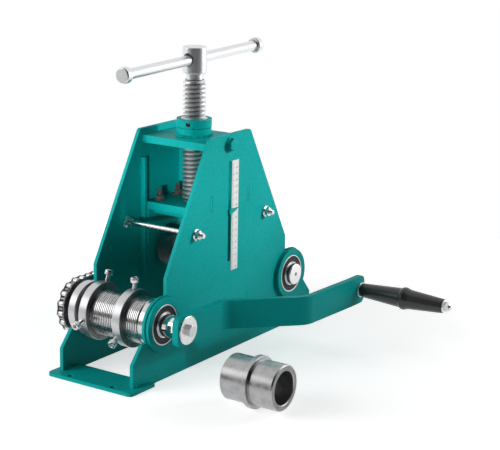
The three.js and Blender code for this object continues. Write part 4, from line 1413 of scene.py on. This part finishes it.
class RINGROLLER_OT_grip(Operator):
    """Build the turning grip with its washer and bolt"""

    bl_idname = "ring_roller.grip"
    bl_label = "Grip"

    def execute(self, context):
        crank = settings().crank
        axis = on_axis("crank_grip")
        base, tip = outward_span("crank_grip")
        grip = self.grip_shape(crank, base, tip)
        add_piece("tapered_grip", grip, "grip", ("black_plastic", "black_plastic"), "crank_grip", axis, "-Y")
        washer = ring(reach("grip_washer").z, crank.grip_bore, *outward_span("grip_washer"), ease=0.0006)
        add_piece("grip_base_washer", washer, "front_drive", BRIGHT, "grip_washer", axis, "-Y")
        start, end = outward_span("grip_bolt")
        washer_low = tip + PLAY
        nut_low = washer_low + crank.washer_height
        nut_high = nut_low + crank.nut_height
        plain_end = end - 0.004
        thread_low = nut_high - 0.0013
        thread_radius = crank.axle - 0.0001
        washer_bore = crank.axle - 0.0005
        depth = settings().fastener.depth
        bolt = joined(
            rod(crank.axle, start, plain_end, ease=0.0004, steps=FINE_STEPS),
            ring(crank.grip_tip, washer_bore, washer_low, nut_low, ease=0.0006),
            hexagon(crank.nut, nut_low, nut_high, bore=thread_radius - PLAY),
            thread(thread_radius, depth, crank.axle_pitch, thread_low, end, VEE_FORM, SMALL_STEPS),
        )
        add_piece("grip_axle_bolt", bolt, "front_drive", PLATED, "grip_bolt", axis, "-Y")
        return {"FINISHED"}

    def grip_shape(self, crank, base, tip):
        """A tapered grip with a ridge round its thickest part."""
        ridge_start = base + crank.taper
        ridge_end = ridge_start + crank.ridge
        under = crank.grip_ridge - 0.0012
        return turned(
            [
                (crank.grip_bore, base),
                (crank.grip_base, base),
                (crank.grip_base + 0.0008, base + 0.003),
                (under - 0.001, ridge_start - 0.001),
                (under - 0.0004, ridge_start),
                (crank.grip_ridge, ridge_start + 0.002),
                (crank.grip_ridge, ridge_end - 0.002),
                (under, ridge_end),
                (under - 0.0012, ridge_end + 0.006),
                (crank.grip_tip + 0.0004, tip - 0.002),
                (crank.grip_tip - 0.0004, tip),
                (crank.grip_bore, tip),
            ],
            ease=0.0012,
        )


class RINGROLLER_OT_press_nut(Operator):
    """Build the welded boss, the threaded nut and its set screw"""

    bl_idname = "ring_roller.press_nut"
    bl_label = "Press Nut"

    def execute(self, context):
        low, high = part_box("screw_boss")
        self.add_boss(low.z, high.z)
        flange = reach("press_nut").x
        centre = middle("nut_set_screw") - screw_axis()
        outward = Matrix.Rotation(math.atan2(centre.y, centre.x), 4, "Z") @ TURNS["X"]
        across = Matrix.Translation((0, 0, centre.z)) @ outward
        self.add_nut(high.z, flange, across)
        self.add_set_screw(flange, across)
        return {"FINISHED"}

    def add_boss(self, low, high):
        """The pipe that holds the nut, with an uneven weld round its foot."""
        paint = settings().paint
        radius = reach("screw_boss").x
        boss = ring(radius, settings().screw.nut_body + PLAY, low, high, ease=0.0008)
        add_piece("welded_boss", boss, "frame", TEAL, "screw_boss", screw_axis())

        def uneven(angle):
            sway = 0.0009
            return radius + WELD_OFFSET + sway * math.sin(angle * 5 + 0.8) * math.cos(angle * 3)

        weld = bead(round_seam(uneven, low + paint.bead * 0.4, 90), 1.25)
        add_piece("boss_weld", weld, "frame", TEAL, None, screw_axis())

    def add_nut(self, boss_top, flange, across):
        screw = settings().screw
        low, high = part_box("press_nut")
        flange_low = high.z - screw.nut_flange
        groove = flange - screw.nut_groove
        lead_width, lead_depth = 0.0026, 0.0022
        nut = turned(
            [
                (screw.nut_bore, low.z),
                (screw.nut_body, low.z),
                (screw.nut_body, boss_top),
                (groove, boss_top),
                (groove, flange_low),
                (flange, flange_low),
                (flange, high.z),
                (screw.nut_bore + lead_width, high.z),
                (screw.nut_bore, high.z - lead_depth),
            ],
            ease=0.0006,
        )
        bare = screw.nut_bore + lead_width - MARGIN / 2
        bare_low = high.z - 0.01
        paint_faces(nut, lambda place: place.xy.length < bare and place.z > bare_low)
        hole_radius = screw.set_screw + 2 * MARGIN
        hole_start, hole_end = flange - 0.009, flange + 0.004
        hole = rod(hole_radius, hole_start, hole_end, ease=0, steps=FINE_STEPS)
        nut = carved(nut, moved(hole, across))
        add_piece("press_screw_nut", nut, "frame", (*TEAL, "plated_steel"), "press_nut", screw_axis())

    def add_set_screw(self, flange, across):
        screw = settings().screw
        face = flange + PLAY
        start = flange - screw.set_length
        socket = across_flats(screw.set_socket)
        floor = face - screw.set_depth
        bevel = (0.0004, 0.0005)
        mouth = (0.0002, 0.0003)
        rows = [
            (0, start),
            (screw.set_screw, start),
            (screw.set_screw, face - bevel[1]),
            (screw.set_screw - bevel[0], face),
            (lambda angle: socket(angle) + mouth[0], face),
            (socket, face - mouth[1]),
            (socket, floor),
            (0, floor),
        ]
        stem = moved(lofted(rows, FINE_STEPS), across)
        add_piece("nut_locking_screw", stem, "frame", PLATED, "nut_set_screw", screw_axis())


class RINGROLLER_OT_press_screw(Operator):
    """Build the press screw with its head and its retaining ring"""

    bl_idname = "ring_roller.press_screw"
    bl_label = "Press Screw"

    def execute(self, context):
        screw = settings().screw
        edge = settings().metal.edge
        low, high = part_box("press_screw")
        head_low = high.z - screw.head_height
        thread_top = head_low - screw.neck_height
        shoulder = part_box("carriage_top_plate")[1].z + PLAY
        ridges = thread(
            screw.crest, screw.depth, screw.pitch, shoulder, thread_top, ACME_FORM, FINE_STEPS * 2
        )
        # The screw's thread valleys get the dark finish: painted shade
        shaded_valley = screw.crest - screw.depth * SHADED_VALLEY_SHARE
        paint_faces(ridges, lambda place: place.xy.length < shaded_valley)
        shape = joined(
            self.head(screw, head_low),
            rod(screw.neck, thread_top - OVERLAP, head_low + OVERLAP, edge),
            rod(screw.journal, low.z, shoulder + OVERLAP, edge),
            ridges,
        )
        look = (*BRIGHT, "dark_steel")
        add_piece("threaded_press_screw", shape, "screw", look, "press_screw", screw_axis())
        low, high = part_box("screw_retaining_ring")
        keeper = ring(reach("screw_retaining_ring").x, screw.journal + PLAY, low.z, high.z, ease=0.0008)
        look = ("bright_steel", "turned_steel")
        add_piece("journal_keeper", keeper, "screw", look, "screw_retaining_ring", screw_axis())
        return {"FINISHED"}

    def head(self, screw, low):
        """The head, with a flared cross hole for the tommy bar."""
        radius = reach("press_screw").x
        rim = radius - screw.head_bevel
        centre = low + screw.head_height / 2
        profile = mirrored([(0, low), (rim, low), (radius, low + screw.head_bevel)], centre)
        mouth = screw.cross_hole + 0.0026
        outside = -radius - 0.003
        flare = [(0, outside), (mouth, outside), (screw.cross_hole, -radius + 0.0016)]
        hole = turned(mirrored(flare), ease=0, steps=FINE_STEPS)
        hole = moved(hole, Matrix.Translation((0, 0, centre + screw.cross_hole_rise)) @ TURNS["X"])
        return carved(turned(profile, ease=0.0007), hole)


class RINGROLLER_OT_tommy_bar(Operator):
    """Build the loose tommy bar with its end caps"""

    bl_idname = "ring_roller.tommy_bar"
    bl_label = "Tommy Bar"

    def execute(self, context):
        screw = settings().screw
        spin = Matrix.Rotation(math.pi / 2 - screw.bar_tilt, 4, "Y")
        along = Vector((math.cos(screw.bar_tilt), 0, math.sin(screw.bar_tilt)))
        centre = screw_axis()
        rear = middle("bar_cap_rear")
        centre.z = rear.z - (rear.x - centre.x) * math.tan(screw.bar_tilt)
        lengths = {}
        for end, sign in ENDS.items():
            half = (middle(f"bar_cap_{end}") - centre).dot(along) * sign
            lengths[end] = half + screw.cap_length / 2
        wall = screw.cap_wall + PLAY
        bar = rod(screw.bar, -lengths["front"] + wall, lengths["rear"] - wall, ease=0.0006)
        add_piece("loose_bar", bar, "bar", BRIGHT, "tommy_bar", centre, spin)
        for end, sign in ENDS.items():
            flip = Matrix.Rotation(0 if sign > 0 else math.pi, 4, "X")
            cap = moved(self.cap(screw, lengths[end]), flip)
            add_piece(f"{end}_bar_cap", cap, "bar", BRIGHT, f"bar_cap_{end}", centre, spin)
        return {"FINISHED"}

    def cap(self, screw, stop):
        """A cap that is closed at its outer end."""
        start = stop - screw.cap_length
        bore = screw.bar + PLAY
        inner_bevel, outer_bevel = 0.001, 0.0016
        return turned(
            [
                (0, stop - screw.cap_wall),
                (bore, stop - screw.cap_wall),
                (bore, start),
                (screw.cap - inner_bevel, start),
                (screw.cap, start + inner_bevel),
                (screw.cap, stop - outer_bevel),
                (screw.cap - outer_bevel, stop),
                (0, stop),
            ],
            ease=0.0006,
        )


class RINGROLLER_OT_carriage(Operator):
    """Build the carriage: plates, cheeks, studs and pointer"""

    bl_idname = "ring_roller.carriage"
    bl_label = "Carriage"

    def execute(self, context):
        add_plate("carriage_deck", "carriage_top_plate", "carriage")
        add_plate("journal_plate", "retaining_plate", "carriage")
        for side in SIDES:
            add_plate(f"{side}_carriage_cheek", f"carriage_cheek_{side}", "carriage")
        add_plate("pointer_tongue", "scale_pointer", "carriage", ease=0.0004)
        sizes = settings().fastener
        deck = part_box("carriage_top_plate")[1].z
        nut_bore = sizes.core - MARGIN
        for i in range(1, 5):
            node = f"carriage_stud_{i}"
            low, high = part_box(node)
            place = Vector((middle(node).x, middle(node).y, 0))
            stud = joined(
                small_thread(sizes.thread, sizes.depth, deck - OVERLAP, high.z),
                rod(sizes.core, low.z, deck, ease=0.0004, steps=FINE_STEPS),
                flange_nut(sizes.stud_flange, sizes.stud_width, deck, sizes.stud_height, nut_bore),
            )
            add_piece(f"stud_with_nut_{i}", stud, "carriage", ("dark_steel", "stud_steel"), node, place)
        return {"FINISHED"}


class RINGROLLER_OT_press_roller(Operator):
    """Build the press roller and its axle"""

    bl_idname = "ring_roller.press_roller"
    bl_label = "Press Roller"

    def execute(self, context):
        axis = on_axis("press_roller")
        low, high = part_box("press_roller")
        radius = reach("press_roller").z
        roller = settings().roller
        recess_floor = low.y + 0.001
        bevel = 0.0015
        near_end = [
            (roller.press_bore, recess_floor),
            (roller.press_recess - 0.0005, recess_floor),
            (roller.press_recess, low.y),
            (radius - bevel, low.y),
            (radius, low.y + bevel),
        ]
        shape = turned(mirrored(near_end, middle("press_roller").y), ease=0.0006)
        look = ("dark_steel", "press_roller_steel")
        add_piece("plain_press_roller", shape, "press_roll", look, "press_roller", axis, "Y")
        low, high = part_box("press_roller_axle")
        axle = rod(reach("press_roller_axle").z, low.y, high.y, ease=0.001)
        add_piece("roller_axle", axle, "carriage", BRIGHT, "press_roller_axle", axis, "Y")
        return {"FINISHED"}


class RINGROLLER_OT_spare_sleeve(Operator):
    """Build the spare roller sleeve that lies beside the machine"""

    bl_idname = "ring_roller.spare_sleeve"
    bl_label = "Spare Sleeve"

    def execute(self, context):
        roller = settings().roller
        low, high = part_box("spare_sleeve")
        body, bore = roller.spare_body, roller.spare_bore
        start = low.y + roller.spare_start
        stop = start + roller.spare_flange
        groove = body - 0.0008
        groove_width = 0.0016
        lead = 0.0012
        bevel = 0.0018
        end = [(bore, lead), (bore + lead, 0), (body - bevel, 0), (body, bevel)]
        side = [(body, -0.002), (groove, -groove_width), (groove, 0), (reach("spare_sleeve").z, 0)]
        sleeve = turned(
            [
                *((radius, low.y + depth) for radius, depth in end),
                *((radius, start + depth) for radius, depth in side),
                *((radius, stop - depth) for radius, depth in reversed(side)),
                *((radius, high.y - depth) for radius, depth in reversed(end)),
            ],
            ease=0.0006,
        )
        # The bore and both end faces get the darker copy of turned steel: painted shade
        paint_faces(sleeve, lambda place: place.xy.length < bore + MARGIN)
        paint_faces(sleeve, lambda place: not low.y + MARGIN <= place.z <= high.y - MARGIN)
        look = ("turned_steel", "worn_steel", "shaded_face_steel")
        add_piece("spare_roller_sleeve", sleeve, "frame", look, "spare_sleeve", on_axis("spare_sleeve"), "Y")
        return {"FINISHED"}


# Stage
def aimed_camera(place, stage):
    """The camera's matrix from its place, heading, pitch and roll."""
    forward = Vector((*polar(math.cos(stage.pitch), stage.heading), -math.sin(stage.pitch)))
    level = Vector((math.sin(stage.heading), -math.cos(stage.heading), 0))
    upright = level.cross(forward)
    right = level * math.cos(stage.roll) + upright * math.sin(stage.roll)
    up = upright * math.cos(stage.roll) - level * math.sin(stage.roll)
    matrix = Matrix((right, up, -forward)).transposed().to_4x4()
    matrix.translation = place
    return matrix


def add_lamp(kind, name, place, target, power):
    """A lamp that the metal doesn't show, aimed at its target."""
    light = bpy.data.lights.new(name, kind)
    light.energy = power
    lamp = add_object(name, light)
    lamp.location = place
    lamp.rotation_euler = (target - place).to_track_quat("-Z", "Y").to_euler()
    lamp.visible_glossy = False
    return lamp


def add_disk(name, place, target, size, power, shown=False):
    lamp = add_lamp("AREA", name, place, target, power)
    lamp.data.shape = "DISK"
    lamp.data.size = size
    lamp.visible_glossy = shown


def add_spot(name, place, target, angle, power):
    lamp = add_lamp("SPOT", name, place, target, power)
    lamp.data.spot_size = math.radians(angle)
    lamp.data.spot_blend = 0.9
    lamp.data.shadow_soft_size = 0.06


def calculate(tree, operation, *values):
    """A math node on sockets or plain numbers."""
    node = tree.nodes.new("ShaderNodeMath")
    node.operation = operation
    for socket, value in zip(node.inputs, values):
        if isinstance(value, (int, float)):
            socket.default_value = value
        else:
            tree.links.new(value, socket)
    return node.outputs["Value"]


class RINGROLLER_OT_stage(Operator):
    """Build the floor, the lights, the pale surroundings and the camera"""

    bl_idname = "ring_roller.stage"
    bl_label = "Stage"

    def execute(self, context):
        stage = settings().stage
        context.scene.view_settings.view_transform = "Standard"
        self.add_camera(context.scene, stage)
        self.add_floor(stage)
        self.add_world(context.scene, stage)
        self.add_lights(stage)
        return {"FINISHED"}

    def add_camera(self, scene, stage):
        lens = bpy.data.cameras.new("photo_camera")
        lens.sensor_fit = "HORIZONTAL"
        lens.sensor_width = stage.sensor
        lens.lens = stage.focal
        camera = add_object("photo_camera", lens)
        camera.matrix_world = aimed_camera(screw_axis() + Vector(stage.place), stage)
        scene.camera = camera

    def add_lights(self, stage):
        """Wide soft light from the left, with a narrow light for the tower and one for the near plate."""

        def beside(x, y, z):
            return screw_axis() + Vector((x, y, z))

        heart = beside(0, 0, 0.18)
        add_disk("left_light", beside(-1.95, 0.95, 0.5), heart, 2.4, stage.left)
        add_disk("right_light", beside(0.85, -1.0, 0.6), heart, 0.7, stage.right, shown=True)
        add_disk("gleam_light", beside(-1.45, 1.2, 1.0), heart, 1.2, stage.gleam, shown=True)
        add_spot("tower_light", beside(-2.1, -0.95, 0.42), beside(0, 0.045, 0.27), 4.6, stage.tower)
        add_spot("plate_light", beside(0.9, -1.3, 0.9), beside(0.04, -0.06, 0.29), 19, stage.plate)
        add_disk("top_light", beside(0.2, 0.1, 2.2), heart, 1.6, stage.top)

    def add_floor(self, stage):
        """A round floor that glows white towards its rim, where it is seen."""
        bm = bmesh.new()
        bmesh.ops.create_circle(bm, cap_ends=True, segments=ROUND_STEPS, radius=stage.floor_radius)
        mesh = bpy.data.meshes.new("floor")
        bm.to_mesh(mesh)
        bm.free()
        floor = add_object("floor", mesh)
        floor.location = screw_axis()
        tree, shader = begin_finish("pale_floor", stage.floor, 0.8)
        mesh.materials.append(bpy.data.materials["pale_floor"])
        shader.inputs["Specular IOR Level"].default_value = 0.2
        rays = tree.nodes.new("ShaderNodeLightPath").outputs
        seen = calculate(tree, "MAXIMUM", rays["Is Camera Ray"], rays["Is Glossy Ray"])
        seen = calculate(tree, "MAXIMUM", seen, rays["Is Transmission Ray"])
        rim = stage.floor_radius
        distance = vector_math(tree, "LENGTH", own_place(tree))["Value"]
        share = spread_over(tree, distance, rim * 0.45, rim * 0.95, stage.glow, 1)
        glow = tree.nodes.new("ShaderNodeEmission")
        glow.inputs["Color"].default_value = (1, 1, 1, 1)
        tree.links.new(calculate(tree, "MULTIPLY", seen, share), glow.inputs["Strength"])
        both = tree.nodes.new("ShaderNodeAddShader")
        tree.links.new(shader.outputs["BSDF"], both.inputs[0])
        tree.links.new(glow.outputs["Emission"], both.inputs[1])
        tree.links.new(both.outputs["Shader"], tree.nodes["Material Output"].inputs["Surface"])

    def add_world(self, scene, stage):
        """White where it is seen. Its light is weaker from above and from the darkened side of the room."""
        world = bpy.data.worlds.new("pale_room")
        scene.world = world
        world.use_nodes = True
        tree = world.node_tree
        direction = tree.nodes.new("ShaderNodeTexCoord").outputs["Generated"]
        to_dark_side = vector_math(tree, "DOT_PRODUCT", direction, (-0.83, -0.55, 0))["Value"]
        beside = spread_over(tree, to_dark_side, 0.1, 0.75, 1, 0.02)
        above = spread_over(tree, rise_of(tree, direction), 0.1, 0.85, 1, 0.3)
        light = calculate(tree, "MULTIPLY", calculate(tree, "MULTIPLY", beside, above), stage.world)
        rays = tree.nodes.new("ShaderNodeLightPath").outputs
        behind = spread_over(tree, to_dark_side, -0.1, 0.5, 1, 0)
        shown = calculate(tree, "MULTIPLY", rays["Is Glossy Ray"], behind)
        unshown = calculate(tree, "SUBTRACT", 1, rays["Is Glossy Ray"])
        light = calculate(tree, "MAXIMUM", calculate(tree, "MULTIPLY", light, unshown), shown)
        seen = calculate(tree, "MAXIMUM", rays["Is Camera Ray"], rays["Is Transmission Ray"])
        white = tree.nodes["Background"]
        white.inputs["Color"].default_value = (1, 1, 1, 1)
        tree.links.new(calculate(tree, "MAXIMUM", seen, light), white.inputs["Strength"])


PIECE_OPERATORS = (
    RINGROLLER_OT_finishes,
    RINGROLLER_OT_side_plates,
    RINGROLLER_OT_cross_pieces,
    RINGROLLER_OT_tie_rods,
    RINGROLLER_OT_scale,
    RINGROLLER_OT_bearings,
    RINGROLLER_OT_shafts,
    RINGROLLER_OT_sleeves,
    RINGROLLER_OT_collars,
    RINGROLLER_OT_sprockets,
    RINGROLLER_OT_chain,
    RINGROLLER_OT_crank,
    RINGROLLER_OT_grip,
    RINGROLLER_OT_press_nut,
    RINGROLLER_OT_press_screw,
    RINGROLLER_OT_tommy_bar,
    RINGROLLER_OT_carriage,
    RINGROLLER_OT_press_roller,
    RINGROLLER_OT_spare_sleeve,
    RINGROLLER_OT_stage,
)


class RINGROLLER_PT_pieces(Panel):
    """Sidebar list of the ring roller's pieces"""

    bl_idname = "RINGROLLER_PT_pieces"
    bl_label = "Ring Roller"
    bl_space_type = "VIEW_3D"
    bl_region_type = "UI"
    bl_category = "Ring Roller"

    def draw(self, context):
        for operator in PIECE_OPERATORS:
            self.layout.operator(operator.bl_idname)


SETTING_GROUPS = (
    PaintSettings,
    MetalSettings,
    FastenerSettings,
    ScrewSettings,
    RollerSettings,
    CollarSettings,
    ChainSettings,
    CrankSettings,
    ScaleSettings,
    StageSettings,
    RingRollerSettings,
)
CLASSES = (*SETTING_GROUPS, *PIECE_OPERATORS, RINGROLLER_PT_pieces)


def register():
    for cls in CLASSES:
        bpy.utils.register_class(cls)
    bpy.types.Scene.ring_roller = PointerProperty(type=RingRollerSettings)


def unregister():
    del bpy.types.Scene.ring_roller
    for cls in reversed(CLASSES):
        bpy.utils.unregister_class(cls)


def main():
    register()
    for operator in PIECE_OPERATORS:
        group, name = operator.bl_idname.split(".")
        getattr(getattr(bpy.ops, group), name)()


if __name__ == "__main__":
    main()
